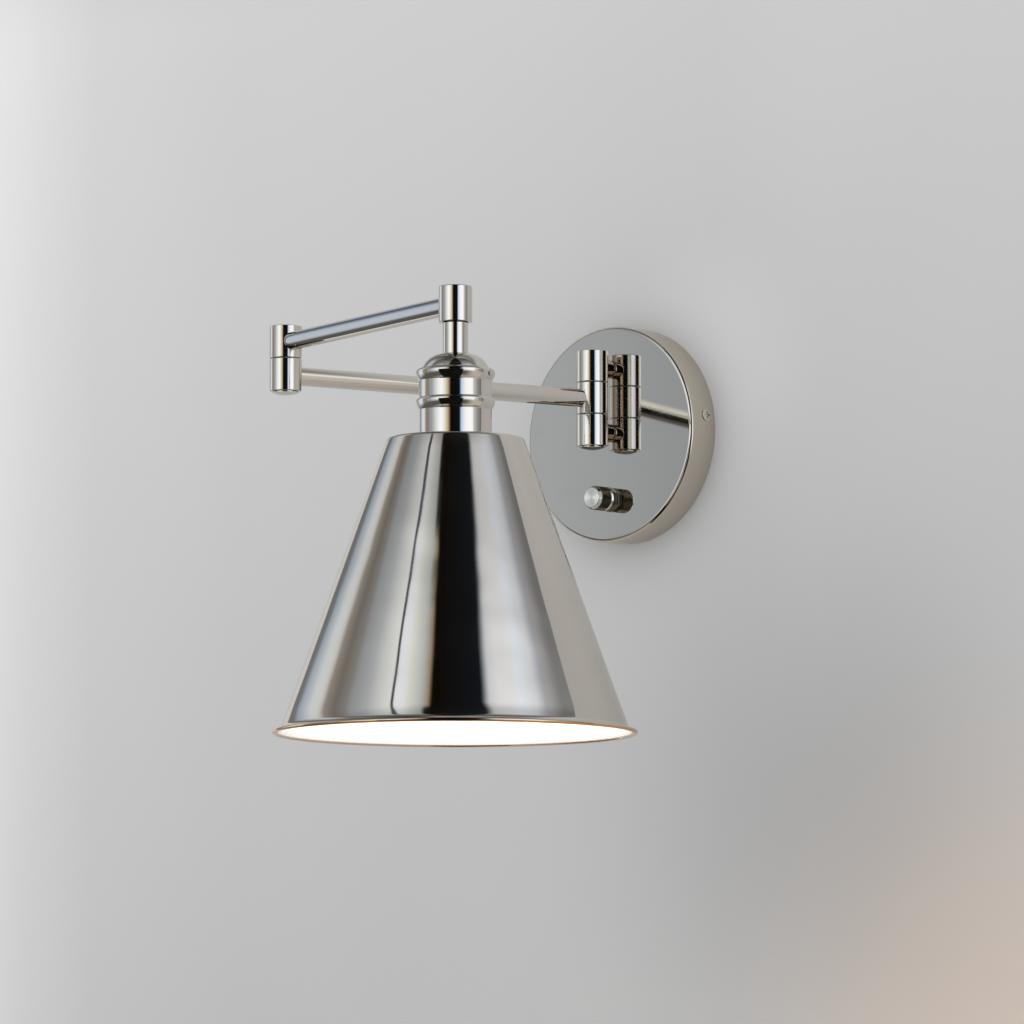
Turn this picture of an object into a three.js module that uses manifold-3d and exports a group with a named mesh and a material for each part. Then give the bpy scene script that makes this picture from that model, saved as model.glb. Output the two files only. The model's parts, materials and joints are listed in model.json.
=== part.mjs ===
// Swing arm wall sconce: a round wall plate, a double-jointed arm and a spun cone shade.
// Millimetres, +Z up. The wall is the plane y = 0, the room lies towards -Y, and the
// origin is the centre of the wall plate's back, on the mounting strap.
import * as THREE from "three";
import { mergeVertices } from "three/addons/utils/BufferGeometryUtils.js";
import Module from "manifold-3d";

const wasm = await Module();
wasm.setup();

// ---- Fits ------------------------------------------------------------------------------
const fitGap = 0.25; // between a piece and what it seats on or passes through
const seamGap = 0.3; // between two knuckle barrels that turn on each other

// ---- Wall plate ------------------------------------------------------------------------
const plateDiameter = 120;
const plateDepth = 20;
const plateWall = 1.2;
const plateEdgeRadius = 2;

// ---- Mounting strap and side screws ----------------------------------------------------
const strapWidth = 16;
const strapThickness = 1.6;
const strapBend = 1.2; // inside radius of the bent ears
const strapEarHeight = 12.5;
const strapSideGap = 1; // ear face to the inside of the plate
const strapSlotWidth = 5.2;
const strapSlotStart = 33; // from the middle of the strap
const strapSlotEnd = 47;
const sideScrewTurn = 6.4; // degrees up from horizontal, round the plate
const sideScrewHeight = 7.2; // from the wall
const sideScrewDiameter = 4;
const sideScrewLength = 8;
const sideScrewHeadDiameter = 8;
const sideScrewHeadHeight = 2.2;
const groundScrewPlace = 19; // from the middle of the strap
const groundScrewDiameter = 4.8;
const groundScrewHeadDiameter = 8.4;
const groundScrewHeadHeight = 2.6;
const groundBossDiameter = 12;
const groundBossHeight = 5;

// ---- Knuckle barrels -------------------------------------------------------------------
const barrelDiameter = 17.4;
const barrelPitch = 17.8; // one barrel and its seam
const barrelEdge = 0.5;
const barrelBore = 10.4; // room for the leads round the pin
const pinDiameter = 8;
const pinBore = 4.8;
const leadHole = 4.4;
const barrelEndWall = 3; // closed end of a top barrel, over its pin
const washerDiameter = 13.6;
const washerThickness = 1.2;
const washerRecess = 0.75;
const capDiameter = 14.3;
const capHeight = 1.8;
const capPlug = 4;
const capEdge = 0.4; // straight rim under the dome

// ---- Shoulder: its axis is in front of the plate, held by two posts ----------------------
const shoulderStandoff = 14.1; // from the plate's face to the axis
const shoulderHeight = 18.3; // of the lower arm, above the plate's middle
const postDiameter = 10;
const postNeck = 7.8;
const postBore = 4.8;
const postTail = 11; // behind the plate's face, for washer and nut
const postNutFlats = 13;
const postNutHeight = 4;
const postWasherDiameter = 14;
const postWasherThickness = 1;

// ---- Arms --------------------------------------------------------------------------------
const armDiameter = 10;
const armWall = 1;
const armSocket = 2.8; // how far a tube sits inside a barrel's wall
const lowerArmLength = 197; // shoulder axis to elbow axis
const upperArmLength = 181; // elbow axis to head axis
const lowerArmYaw = 253.7; // degrees, from +X towards +Y
const elbowTurn = 88.3; // degrees, from the lower arm's line to the upper arm's

// ---- Head: a barrel on the upper arm in which the shade's stem turns -------------------
const headBarrelHeight = 18.8;
const headBarrelRound = 1.5;
const headBore = 11.4;
const headCounterbore = 14.2;
const headCapThickness = 1.4;
const sleeveWall = 0.6;
const sleeveFlange = 0.9;
const stemDiameter = 13.1;
const stemLength = 16.5; // between the barrel and the dome
const stemBore = 5.6;
const stemNutFlats = 11.5;
const stemNutHeight = 2.2; // a thin lock nut, over the arm's tube
const stemTail = 11.5; // inside the cup
const stemTailDiameter = 9.8;
const cupNutFlats = 14;
const cupNutHeight = 4;

// ---- Socket cup --------------------------------------------------------------------------
const cupDiameter = 37.6;
const cupWall = 1.3;
const cupBeadBulge = 1.7;
const cupBeadHeight = 6.8;
const cupBeadNose = 2; // radius of the round at the bead's top
const cupBeadCove = 1; // radius of the hollow under the bead
const cupFlare = 0.9; // hollow over the cup's foot
const cupUpperBand = 8.3;
const cupLowerBand = 14.1;
const domeDiameter = 34.6;
const domeHeight = 7.6;
const domeArcRadius = 11.5;
const domeWall = 1.2;
const domeSkirt = 3;
const cupScrewDiameter = 3;
const cupScrewLength = 3.2;
const cupScrewTurn = 32; // degrees round the cup

// ---- Lamp socket and bulb ----------------------------------------------------------------
const socketDiameter = 33.2;
const socketBossDiameter = 16;
const socketShoulder = 6.5; // below the boss's top
const socketRound = 2; // bevel where the boss meets the body
const socketFloor = 9;
const socketOverhang = 17; // below the shade's top
const shellDiameter = 27.8;
const shellWall = 0.6;
const shellLength = 31;
const shellHole = 14;
const contactDiameter = 9.2;
const contactThickness = 0.8;
const contactRivet = 3;
const contactRise = 0.4; // rivet above the spring leaf
const bulbBaseDiameter = 26;
const bulbBaseLength = 26;
const bulbBaseWall = 0.8;
const bulbBaseTaper = 4; // from the solder tip down to the shoulder
const bulbBaseBevel = 1.5;
const bulbSeat = 8; // how far the glass goes up into the base
const bulbTipDiameter = 9.4;
const bulbTipHeight = 2;
const bulbTipBevel = 0.9;
const bulbGlassDiameter = 60;
const bulbGlassWall = 1;
const bulbNeckDiameter = 23;
const bulbGlassLength = 92;
const bulbNeckLength = 6; // straight part at the base

// ---- Shade -------------------------------------------------------------------------------
const shadeTopDiameter = 69.8; // this and the next two at the middle of the wall
const shadeConeMouth = 176.6; // where the flare starts
const shadeConeDrop = 147.4; // from the top down to the flare
const shadeWall = 1;
const shadeShoulder = 1.8;
const shadeFlareRadius = 6.3;
const shadeFlareEnd = 12; // degrees below level where the flare meets the rolled edge
const shadeRollDiameter = 2.1;
const ringDiameter = 44;
const ringHeight = 8;
const ringFlange = 2;
const ringHubDiameter = 38;

// ---- Dimmer ------------------------------------------------------------------------------
const knobFromEdge = 23.5; // its axis above the plate's lowest point
const knobDiameter = 13.3;
const knobLength = 12.1;
const knobGap = 2.8; // knob to plate
const knobFaceDiameter = 11.3;
const knobChamfer = 1.7;
const knobCollar = 1.9;
const knobCollarEdge = 0.3;
const knobGroove = 0.7;
const knobGrooveDepth = 0.6;
const knurlCount = 36;
const knurlDepth = 0.35;
const knobBoreDepth = 9.2;
const knobScrewDiameter = 2.4;
const knobScrewSink = 0.4; // below the roots of the knurl
const shaftDiameter = 6;
const shaftFlat = 1.4;
const bushDiameter = 9;
const bushReach = 2.4; // in front of the plate
const dimmerNutFlats = 12;
const dimmerNutHeight = 1.9;
const dimmerDiameter = 25;
const dimmerDepth = 11;
const dimmerBackWall = 2;
const lugWidth = 3;
const lugLength = 8;
const lugThickness = 0.8;
const lugSpacing = 6;

// ---- Facets round a full turn ------------------------------------------------------------
const fine = 46;
const medium = 26;
const round = 20;
const small = 12;

// ---- Finishes ----------------------------------------------------------------------------
const finish = (color, roughness, metalness) =>
  new THREE.MeshStandardMaterial({ color, roughness, metalness });
const nickel = () => finish(0xcfc8bd, 0.07, 1);
const zincSteel = () => finish(0xb4b6b8, 0.35, 1);
const brass = () => finish(0xc79f4e, 0.3, 1);
const nylon = () => finish(0xe6e3da, 0.5, 0);
const phenolic = () => finish(0x1d1c1b, 0.45, 0);
const greenSteel = () => finish(0x2f7a3d, 0.4, 1);
const frosted = () => finish(0xfff6e2, 0.4, 0);

// ---- Solids ------------------------------------------------------------------------------
const radians = THREE.MathUtils.degToRad;

function toManifold(geometry) {
  const bare = geometry.clone();
  bare.deleteAttribute("normal");
  bare.deleteAttribute("uv");
  const welded = mergeVertices(bare, 1e-4);
  const corners = welded.index.array;
  const kept = [];
  for (let i = 0; i < corners.length; i += 3) {
    const [a, b, c] = corners.slice(i, i + 3);
    if (a !== b && b !== c && c !== a) kept.push(a, b, c);
  }
  const vertProperties = welded.attributes.position.array;
  return new wasm.Manifold(new wasm.Mesh({ numProp: 3, vertProperties, triVerts: new Uint32Array(kept) }));
}

function fromManifold(manifold) {
  const { vertProperties, triVerts } = manifold.getMesh();
  const geometry = new THREE.BufferGeometry();
  geometry.setAttribute("position", new THREE.BufferAttribute(vertProperties, 3));
  geometry.setIndex(new THREE.BufferAttribute(triVerts, 1));
  geometry.computeVertexNormals();
  return geometry;
}

const weld = (geometry) => fromManifold(toManifold(geometry));

function combine(first, others, operation) {
  let result = toManifold(first);
  for (const other of others) result = result[operation](toManifold(other));
  return fromManifold(result);
}
const join = (first, ...others) => combine(first, others, "add");
const cut = (first, ...others) => combine(first, others, "subtract");

// A solid of revolution about +Z from [radius, height] points. The outline either runs
// from the axis to the axis or closes on itself.
function revolve(outline, segments = round) {
  const points = outline.map(([r, z]) => new THREE.Vector2(Math.max(r, 0), z));
  const [first, last] = [points[0], points[points.length - 1]];
  const onAxis = first.x === 0 && last.x === 0;
  if (!onAxis && !first.equals(last)) points.push(first.clone());
  if (THREE.ShapeUtils.area(points) < 0) points.reverse();
  return weld(new THREE.LatheGeometry(points, segments).rotateX(Math.PI / 2));
}

// Points along an arc, angles in degrees, both ends included.
function arc(centreR, centreZ, radius, from, to, steps) {
  return Array.from({ length: steps + 1 }, (_, i) => {
    const angle = radians(from + ((to - from) * i) / steps);
    return [centreR + radius * Math.cos(angle), centreZ + radius * Math.sin(angle)];
  });
}

// A cylinder standing on height z0, and a tube between two heights.
const rod = (radius, z0, z1, segments = round) =>
  revolve([[0, z0], [radius, z0], [radius, z1], [0, z1]], segments);
const tube = (outer, inner, z0, z1, segments = round) =>
  revolve([[inner, z0], [outer, z0], [outer, z1], [inner, z1]], segments);
const alongX = (geometry) => geometry.rotateY(Math.PI / 2);
const alongY = (geometry) => geometry.rotateX(-Math.PI / 2);

function block(width, depth, z0, z1) {
  return new THREE.BoxGeometry(width, depth, z1 - z0).translate(0, 0, (z0 + z1) / 2);
}

// A hexagon nut of a given size across flats, with a round bore.
function hexNut(flats, bore, z0, z1) {
  const shape = new THREE.Shape();
  for (let i = 0; i < 6; i++) {
    const angle = radians(60 * i + 30);
    const corner = flats / Math.sqrt(3);
    if (i === 0) shape.moveTo(corner * Math.cos(angle), corner * Math.sin(angle));
    else shape.lineTo(corner * Math.cos(angle), corner * Math.sin(angle));
  }
  const body = new THREE.ExtrudeGeometry(shape, { depth: z1 - z0, bevelEnabled: false });
  return cut(body.translate(0, 0, z0), rod(bore / 2, z0 - 1, z1 + 1, small));
}

// A cross recess for a screwdriver, sunk from the top of a screw head.
function crossRecess(top, span, width, depth) {
  const bar = block(span, width, top - depth, top + 1);
  return join(bar, block(width, span, top - depth, top + 1));
}

// A pan head screw standing on z = 0, its shank running down.
function panScrew(shankDiameter, length, headDiameter, headHeight) {
  const head = headDiameter / 2;
  const shank = shankDiameter / 2;
  const crown = [[head, 0], [head, headHeight * 0.35], [head * 0.86, headHeight * 0.75],
    [head * 0.55, headHeight]];
  const body = revolve([[0, -length], [shank, -length], [shank, 0], ...crown, [0, headHeight]], small);
  return cut(body, crossRecess(headHeight, headDiameter * 0.55, headDiameter * 0.13, headHeight * 0.55));
}

const parts = new THREE.Group();

function place(group, name, geometry, material, position = [0, 0, 0]) {
  const mesh = new THREE.Mesh(geometry, material);
  mesh.name = name;
  mesh.position.set(...position);
  group.add(mesh);
  return mesh;
}

function frameAt(parent, position, turnZ = 0) {
  const group = new THREE.Group();
  group.position.set(...position);
  group.rotation.z = turnZ;
  parent.add(group);
  return group;
}

// ---- Sizes worked out from the ones above --------------------------------------------------
const plateRadius = plateDiameter / 2;
const knobDrop = plateRadius - knobFromEdge;
const barrelRadius = barrelDiameter / 2;
const barrelHeight = barrelPitch - seamGap;
const pinRadius = pinDiameter / 2;
const armRadius = armDiameter / 2;
const socketEnd = barrelRadius - armSocket; // end of an arm tube, from a barrel's axis
const postHeights = [shoulderHeight + barrelPitch, shoulderHeight - barrelPitch];
const shoulderY = plateDepth + shoulderStandoff;

// ---- Wall side, in a frame whose Z points out of the wall and whose Y points up ---------------
const wall = new THREE.Group();
wall.rotation.x = Math.PI / 2;
parts.add(wall);

function wallPlate() {
  const r = plateRadius;
  const e = plateEdgeRadius;
  const inner = e - plateWall;
  const outline = [
    [0, plateDepth],
    ...arc(r - e, plateDepth - e, e, 90, 0, 4),
    [r, 0],
    [r - plateWall, 0],
    ...arc(r - e, plateDepth - e, Math.max(inner, 0.2), 0, 90, 2),
    [0, plateDepth - plateWall],
  ];
  const shell = revolve(outline, fine);
  const postHoles = postHeights.map((y) =>
    rod(postNeck / 2 + fitGap, 0, plateDepth + 1, small).translate(0, y, 0));
  const bushHole = rod(bushDiameter / 2 + fitGap, 0, plateDepth + 1, small).translate(0, -knobDrop, 0);
  const screwHole = alongX(rod(sideScrewDiameter / 2 + fitGap, -r - 1, r + 1, small))
    .translate(0, 0, sideScrewHeight)
    .rotateZ(radians(sideScrewTurn));
  return cut(shell, ...postHoles, bushHole, screwHole);
}

// The strap is a U in side view, extruded across its width, with slots for the box screws.
function mountingStrap() {
  const half = plateRadius - plateWall - strapSideGap;
  const t = strapThickness;
  const b = strapBend;
  const side = new THREE.Shape();
  side.moveTo(-half, strapEarHeight);
  side.lineTo(-half, b + t);
  side.absarc(-half + b + t, b + t, b + t, Math.PI, 1.5 * Math.PI, false);
  side.lineTo(half - b - t, 0);
  side.absarc(half - b - t, b + t, b + t, 1.5 * Math.PI, 2 * Math.PI, false);
  side.lineTo(half, strapEarHeight);
  side.lineTo(half - t, strapEarHeight);
  side.absarc(half - b - t, b + t, b, 0, 1.5 * Math.PI, true);
  side.absarc(-half + b + t, b + t, b, 1.5 * Math.PI, Math.PI, true);
  side.lineTo(-half + t, strapEarHeight);
  const bar = new THREE.ExtrudeGeometry(side, { depth: strapWidth, bevelEnabled: false, curveSegments: 4 })
    .translate(0, 0, -strapWidth / 2)
    .rotateX(Math.PI / 2);
  const slot = () => {
    const w = strapSlotWidth / 2;
    const outline = new THREE.Shape();
    outline.absarc(strapSlotStart + w, 0, w, 0.5 * Math.PI, 1.5 * Math.PI, false);
    outline.absarc(strapSlotEnd - w, 0, w, 1.5 * Math.PI, 2.5 * Math.PI, false);
    return new THREE.ExtrudeGeometry(outline, { depth: t + 2, bevelEnabled: false, curveSegments: 6 })
      .translate(0, 0, -1);
  };
  const screwHole = alongX(rod(sideScrewDiameter / 2 + fitGap, -half - 1, half + 1, small))
    .translate(0, 0, sideScrewHeight);
  const boss = rod(groundBossDiameter / 2, 0, groundBossHeight, small).translate(groundScrewPlace, 0, 0);
  const hollow = rod(groundBossDiameter / 2 - t, -1, groundBossHeight - t, small)
    .translate(groundScrewPlace, 0, 0);
  const groundHole = rod(groundScrewDiameter / 2 + fitGap, -1, groundBossHeight + 1, small)
    .translate(groundScrewPlace, 0, 0);
  const pressed = cut(join(bar, boss), hollow, groundHole, screwHole, slot(), slot().rotateZ(Math.PI));
  return pressed.rotateZ(radians(sideScrewTurn));
}

function wallPlateParts() {
  place(wall, "wall_plate", wallPlate(), nickel());
  place(wall, "mounting_strap", mountingStrap(), zincSteel());
  const groundAngle = radians(sideScrewTurn);
  place(wall, "ground_screw",
    panScrew(groundScrewDiameter, groundBossHeight - fitGap, groundScrewHeadDiameter,
      groundScrewHeadHeight),
    greenSteel(),
    [groundScrewPlace * Math.cos(groundAngle), groundScrewPlace * Math.sin(groundAngle),
      groundBossHeight + fitGap]);
  const sides = [["side_screw_right", 0], ["side_screw_left", 180]];
  for (const [name, turn] of sides) {
    const screw = alongX(
      panScrew(sideScrewDiameter, sideScrewLength, sideScrewHeadDiameter, sideScrewHeadHeight))
      .translate(plateRadius + fitGap / 2, 0, sideScrewHeight)
      .rotateZ(radians(sideScrewTurn + turn));
    place(wall, name, screw, nickel());
  }
}

// A post: its tail goes through the plate to a washer and nut, its collar is coped to the
// barrel and its nose enters the barrel's wall. It is bored for the leads.
function post() {
  const neck = postNeck / 2;
  const collarStart = plateDepth + fitGap;
  const noseEnd = shoulderY - barrelBore / 2 - fitGap;
  const collar = rod(postDiameter / 2, collarStart, shoulderY, round);
  const barrel = alongY(rod(barrelRadius + fitGap, -barrelPitch, barrelPitch, round))
    .translate(0, 0, shoulderY);
  const shank = rod(neck, plateDepth - postTail, noseEnd, small);
  return cut(join(cut(collar, barrel), shank), rod(postBore / 2, 0, shoulderY, small));
}

function postParts() {
  const hole = postNeck / 2 + fitGap;
  const washerFront = plateDepth - plateWall - fitGap;
  const nutFront = washerFront - postWasherThickness - fitGap;
  ["upper", "lower"].forEach((level, i) => {
    const y = postHeights[i];
    place(wall, `post_${level}`, post(), nickel(), [0, y, 0]);
    place(wall, `post_washer_${level}`,
      tube(postWasherDiameter / 2, hole, washerFront - postWasherThickness, washerFront, small),
      zincSteel(), [0, y, 0]);
    place(wall, `post_nut_${level}`,
      hexNut(postNutFlats, 2 * hole, nutFront - postNutHeight, nutFront), zincSteel(), [0, y, 0]);
  });
}

// ---- Dimmer, in the wall frame --------------------------------------------------------------
function dimmerBody() {
  const back = plateDepth - plateWall - fitGap;
  const can = rod(dimmerDiameter / 2, back - dimmerDepth, back, round);
  const bush = rod(bushDiameter / 2, back - 1, plateDepth + bushReach, small);
  const hole = rod(shaftDiameter / 2 + fitGap, back - dimmerDepth + dimmerBackWall,
    plateDepth + bushReach + 1, small);
  return cut(join(can, bush), hole);
}

function knob() {
  const r = knobDiameter / 2;
  const front = knobLength;
  const knurlStart = knobCollar + knobGroove;
  const knurlEnd = front - knobChamfer;
  const grip = new THREE.Shape();
  for (let i = 0; i < knurlCount * 2; i++) {
    const angle = (i * Math.PI) / knurlCount;
    const tip = i % 2 ? r - knurlDepth : r;
    if (i === 0) grip.moveTo(tip, 0);
    else grip.lineTo(tip * Math.cos(angle), tip * Math.sin(angle));
  }
  const knurl = new THREE.ExtrudeGeometry(grip, { depth: knurlEnd - knurlStart, bevelEnabled: false })
    .translate(0, 0, knurlStart);
  const core = revolve([
    [0, 0], [r - knobCollarEdge, 0], [r, knobCollarEdge], [r, knobCollar], [r - knobGrooveDepth, knobCollar],
    [r - knobGrooveDepth, knurlEnd], [r - knurlDepth, knurlEnd], [knobFaceDiameter / 2, front], [0, front],
  ], round);
  const bore = rod(shaftDiameter / 2 + fitGap, -1, knobBoreDepth, small);
  const screwHole = alongY(rod(knobScrewDiameter / 2 + fitGap, 0, knobDiameter, small))
    .rotateX(Math.PI).translate(0, 0, (knurlStart + knurlEnd) / 2);
  return cut(join(core, knurl), bore, screwHole);
}

function dimmerParts() {
  const panelBack = plateDepth - plateWall - fitGap;
  const knobBack = plateDepth + knobGap;
  place(wall, "dimmer_body", dimmerBody(), phenolic(), [0, -knobDrop, 0]);
  place(wall, "dimmer_nut",
    hexNut(dimmerNutFlats, bushDiameter + 2 * fitGap, plateDepth + fitGap,
      plateDepth + fitGap + dimmerNutHeight),
    zincSteel(), [0, -knobDrop, 0]);
  for (const side of [-1, 1]) {
    const lug = new THREE.BoxGeometry(lugWidth, lugLength, lugThickness)
      .translate(side * lugSpacing / 2, -knobDrop + dimmerDiameter / 2 + fitGap + lugLength / 2,
        panelBack - dimmerDepth / 2);
    place(wall, side < 0 ? "dimmer_lug_left" : "dimmer_lug_right", weld(lug), brass());
  }
  const shaftStart = panelBack - dimmerDepth + dimmerBackWall + fitGap;
  const shaftEnd = knobBack + knobBoreDepth - fitGap;
  const flat = block(shaftDiameter, shaftDiameter, knobBack, shaftEnd + 1)
    .translate(0, -shaftDiameter + shaftFlat, 0);
  place(wall, "dimmer_shaft", cut(rod(shaftDiameter / 2, shaftStart, shaftEnd, small), flat),
    brass(), [0, -knobDrop, 0]);
  place(wall, "dimmer_knob", knob(), nickel(), [0, -knobDrop, knobBack]);
  const knurlMiddle = (knobCollar + knobGroove + knobLength - knobChamfer) / 2;
  const grub = alongY(rod(knobScrewDiameter / 2, shaftDiameter / 2 - shaftFlat + fitGap,
    knobDiameter / 2 - knurlDepth - knobScrewSink, small)).rotateX(Math.PI);
  place(wall, "knob_screw", grub, zincSteel(), [0, -knobDrop, knobBack + knurlMiddle]);
}

// ---- Knuckle barrels, each about its own middle ------------------------------------------------
// A recess takes a washer, a blind top holds the pin's thread, and a bearing turns on the
// pin where the others leave room round it for the leads.
function barrel({ topBlind = false, topRecess = false, bottomRecess = false, bearing = false }) {
  const h = barrelHeight / 2;
  const r = barrelRadius;
  const e = barrelEdge;
  const body = revolve([[0, -h], [r - e, -h], [r, -h + e], [r, h - e], [r - e, h], [0, h]], round);
  const bore = bearing ? pinRadius + fitGap : barrelBore / 2;
  const cuts = [rod(bore, -h - 1, topBlind ? h - barrelEndWall : h + 1, small)];
  const recess = washerDiameter / 2 + fitGap;
  if (topRecess) cuts.push(rod(recess, h - washerRecess, h + 1, round));
  if (bottomRecess) cuts.push(rod(recess, -h - 1, -h + washerRecess, round));
  return cut(body, ...cuts);
}

// Sockets in a barrel's wall: a pocket for an arm tube and a hole on for its lead.
const armPocket = (segments = small) =>
  alongX(rod(armRadius + fitGap, socketEnd - fitGap, barrelDiameter, segments));
const leadPassage = () => alongX(rod(leadHole / 2, 0, barrelDiameter, small));
const postPocket = () =>
  alongY(rod(postNeck / 2 + fitGap, 0, barrelDiameter, small));

function pin(bottom, top, windows) {
  const body = tube(pinRadius, pinBore / 2, bottom, top, small);
  return cut(body, ...windows.map(({ z, turn }) =>
    alongX(rod(leadHole / 2, 0, barrelDiameter, small)).rotateZ(turn).translate(0, 0, z)));
}

// The domed cap that closes a knuckle from below; its plug enters the barrel's bore.
function cap() {
  const r = capDiameter / 2;
  const plug = barrelBore / 2 - fitGap;
  const wallOfPlug = pinRadius + fitGap;
  const dome = [[r, -capEdge], [r * 0.93, -capHeight * 0.5], [r * 0.7, -capHeight * 0.82],
    [r * 0.38, -capHeight * 0.97]];
  return revolve([[0, -capHeight], ...dome.reverse(), [r, 0], [plug, 0], [plug, capPlug],
    [wallOfPlug, capPlug], [wallOfPlug, fitGap], [0, fitGap]], round);
}

const washer = () =>
  tube(washerDiameter / 2, pinRadius + fitGap, -washerThickness / 2, washerThickness / 2, small);

// ---- Shoulder -----------------------------------------------------------------------------------
function shoulderParts() {
  const fixed = frameAt(parts, [0, -shoulderY, shoulderHeight]);
  const upper = cut(barrel({ topBlind: true, bottomRecess: true }), postPocket());
  const lower = cut(barrel({ topRecess: true }), postPocket());
  place(fixed, "shoulder_upper", upper, nickel(), [0, 0, barrelPitch]);
  place(fixed, "shoulder_lower", lower, nickel(), [0, 0, -barrelPitch]);
  const bottom = -1.5 * barrelPitch + seamGap / 2;
  const top = 1.5 * barrelPitch - seamGap / 2 - barrelEndWall - fitGap;
  const towardsPost = Math.PI / 2;
  place(fixed, "shoulder_pin", pin(bottom + 2 * fitGap, top, [
    { z: barrelPitch, turn: towardsPost },
    { z: -barrelPitch, turn: towardsPost },
    { z: 0, turn: radians(lowerArmYaw) },
  ]), zincSteel());
  place(fixed, "shoulder_cap", cap(), nickel(), [0, 0, bottom - fitGap]);
}

// ---- Lower arm, in a frame on the shoulder axis whose X runs along the arm ------------------------
function armTube(length) {
  return alongX(tube(armRadius, armRadius - armWall, socketEnd, length - socketEnd, round));
}

function lowerArmParts(arm) {
  const middle = cut(barrel({ topRecess: true, bottomRecess: true, bearing: true }),
    armPocket(), leadPassage());
  place(arm, "shoulder_middle", middle, nickel());
  place(arm, "shoulder_washer_upper", washer(), nylon(), [0, 0, barrelPitch / 2]);
  place(arm, "shoulder_washer_lower", washer(), nylon(), [0, 0, -barrelPitch / 2]);
  place(arm, "lower_arm_tube", armTube(lowerArmLength), nickel());
  const elbowBarrel = cut(barrel({ topRecess: true }),
    armPocket().rotateZ(Math.PI), leadPassage().rotateZ(Math.PI));
  place(arm, "elbow_lower", elbowBarrel, nickel(), [lowerArmLength, 0, 0]);
  const bottom = -barrelPitch / 2 + seamGap / 2;
  const top = 1.5 * barrelPitch - seamGap / 2 - barrelEndWall - fitGap;
  place(arm, "elbow_pin", pin(bottom + 2 * fitGap, top, [
    { z: 0, turn: Math.PI },
    { z: barrelPitch, turn: radians(elbowTurn) },
  ]), zincSteel(), [lowerArmLength, 0, 0]);
  place(arm, "elbow_cap", cap(), nickel(), [lowerArmLength, 0, bottom - fitGap]);
  place(arm, "elbow_washer", washer(), nylon(), [lowerArmLength, 0, barrelPitch / 2]);
}

// ---- Upper arm, in a frame on the elbow axis at the upper arm's height ------------------------------
function headBarrel() {
  const h = headBarrelHeight / 2;
  const r = barrelRadius;
  const e = headBarrelRound;
  const body = revolve([[0, -h], [r - barrelEdge, -h], [r, -h + barrelEdge],
    ...arc(r - e, h - e, e, 0, 90, 4), [0, h]], round);
  const counterbore = headCounterbore / 2;
  const topDepth = headCapThickness + stemNutHeight + 3 * fitGap;
  return cut(body,
    rod(headBore / 2, -h - 1, h + 1, small),
    rod(counterbore, h - topDepth, h + 1, round),
    rod(counterbore, -h - 1, -h + sleeveFlange + fitGap, round),
    armPocket().rotateZ(Math.PI), leadPassage().rotateZ(Math.PI));
}

function upperArmParts(arm) {
  const elbowBarrel = cut(barrel({ topBlind: true, bottomRecess: true, bearing: true }),
    armPocket(), leadPassage());
  place(arm, "elbow_upper", elbowBarrel, nickel());
  place(arm, "upper_arm_tube", armTube(upperArmLength), nickel());
  const h = headBarrelHeight / 2;
  const sleeveOuter = headBore / 2 - fitGap;
  const sleeveInner = sleeveOuter - sleeveWall;
  const flange = headCounterbore / 2 - fitGap;
  const sleeveTop = h - headCapThickness - stemNutHeight - 3 * fitGap - fitGap;
  const sleeve = revolve([[sleeveInner, -h], [flange, -h], [flange, -h + sleeveFlange],
    [sleeveOuter, -h + sleeveFlange], [sleeveOuter, sleeveTop], [sleeveInner, sleeveTop]], small);
  const sleeveLead = leadPassage().rotateZ(Math.PI);
  place(arm, "head_barrel", headBarrel(), nickel(), [upperArmLength, 0, 0]);
  place(arm, "head_sleeve", cut(sleeve, sleeveLead), nylon(), [upperArmLength, 0, 0]);
  place(arm, "head_cap", rod(headCounterbore / 2 - fitGap, h - headCapThickness, h, round),
    nickel(), [upperArmLength, 0, 0]);
}

// ---- Shade head, in a frame on the head axis at the upper arm's height -------------------------------
function stem() {
  const shoulderTop = -headBarrelHeight / 2 - fitGap;
  const neckRadius = stemNeckRadius();
  const top = headBarrelHeight / 2 - headCapThickness - fitGap;
  const seat = shoulderTop - stemLength + 2 * fitGap;
  const tail = stemTailDiameter / 2;
  const solid = revolve([[stemBore / 2, seat - stemTail], [tail, seat - stemTail], [tail, seat],
    [stemDiameter / 2, seat], [stemDiameter / 2, shoulderTop], [neckRadius, shoulderTop],
    [neckRadius, top], [stemBore / 2, top]], round);
  return cut(solid, leadPassage().rotateZ(Math.PI));
}
const stemNeckRadius = () => headBore / 2 - 2 * fitGap - sleeveWall;

// Heights below the dome's top, going down the cup.
const domeBase = -domeHeight;
const upperBeadBase = domeBase - cupBeadHeight;
const upperBandBase = upperBeadBase - cupUpperBand;
const lowerBeadBase = upperBandBase - cupBeadHeight;
const cupBase = lowerBeadBase - cupLowerBand;
const cupBore = cupDiameter / 2 - cupWall;

// The dome's arc ends in its rim, and its centre lies this far from the axis.
const domeReach = Math.sqrt(domeArcRadius ** 2 - (domeArcRadius - domeHeight) ** 2);
const domeCentre = domeDiameter / 2 - domeReach;

// Height of the dome's underside at a distance from the axis.
function domeUnder(radius) {
  const out = Math.max(radius - domeCentre, 0);
  return -domeArcRadius + Math.sqrt((domeArcRadius - domeWall) ** 2 - out ** 2);
}

function dome() {
  const endAngle = THREE.MathUtils.radToDeg(Math.acos(domeReach / domeArcRadius));
  const hole = stemTailDiameter / 2 + fitGap;
  const skirt = cupBore - fitGap;
  const outer = arc(domeCentre, -domeArcRadius, domeArcRadius, 90, endAngle, 6);
  const inner = arc(domeCentre, -domeArcRadius, domeArcRadius - domeWall, endAngle + 8, 90, 3);
  return revolve([[hole, 0], ...outer, [skirt, domeBase], [skirt, domeBase - domeSkirt],
    [skirt - domeWall, domeBase - domeSkirt], [skirt - domeWall, domeBase], ...inner,
    [hole, -domeWall]], medium);
}

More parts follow.
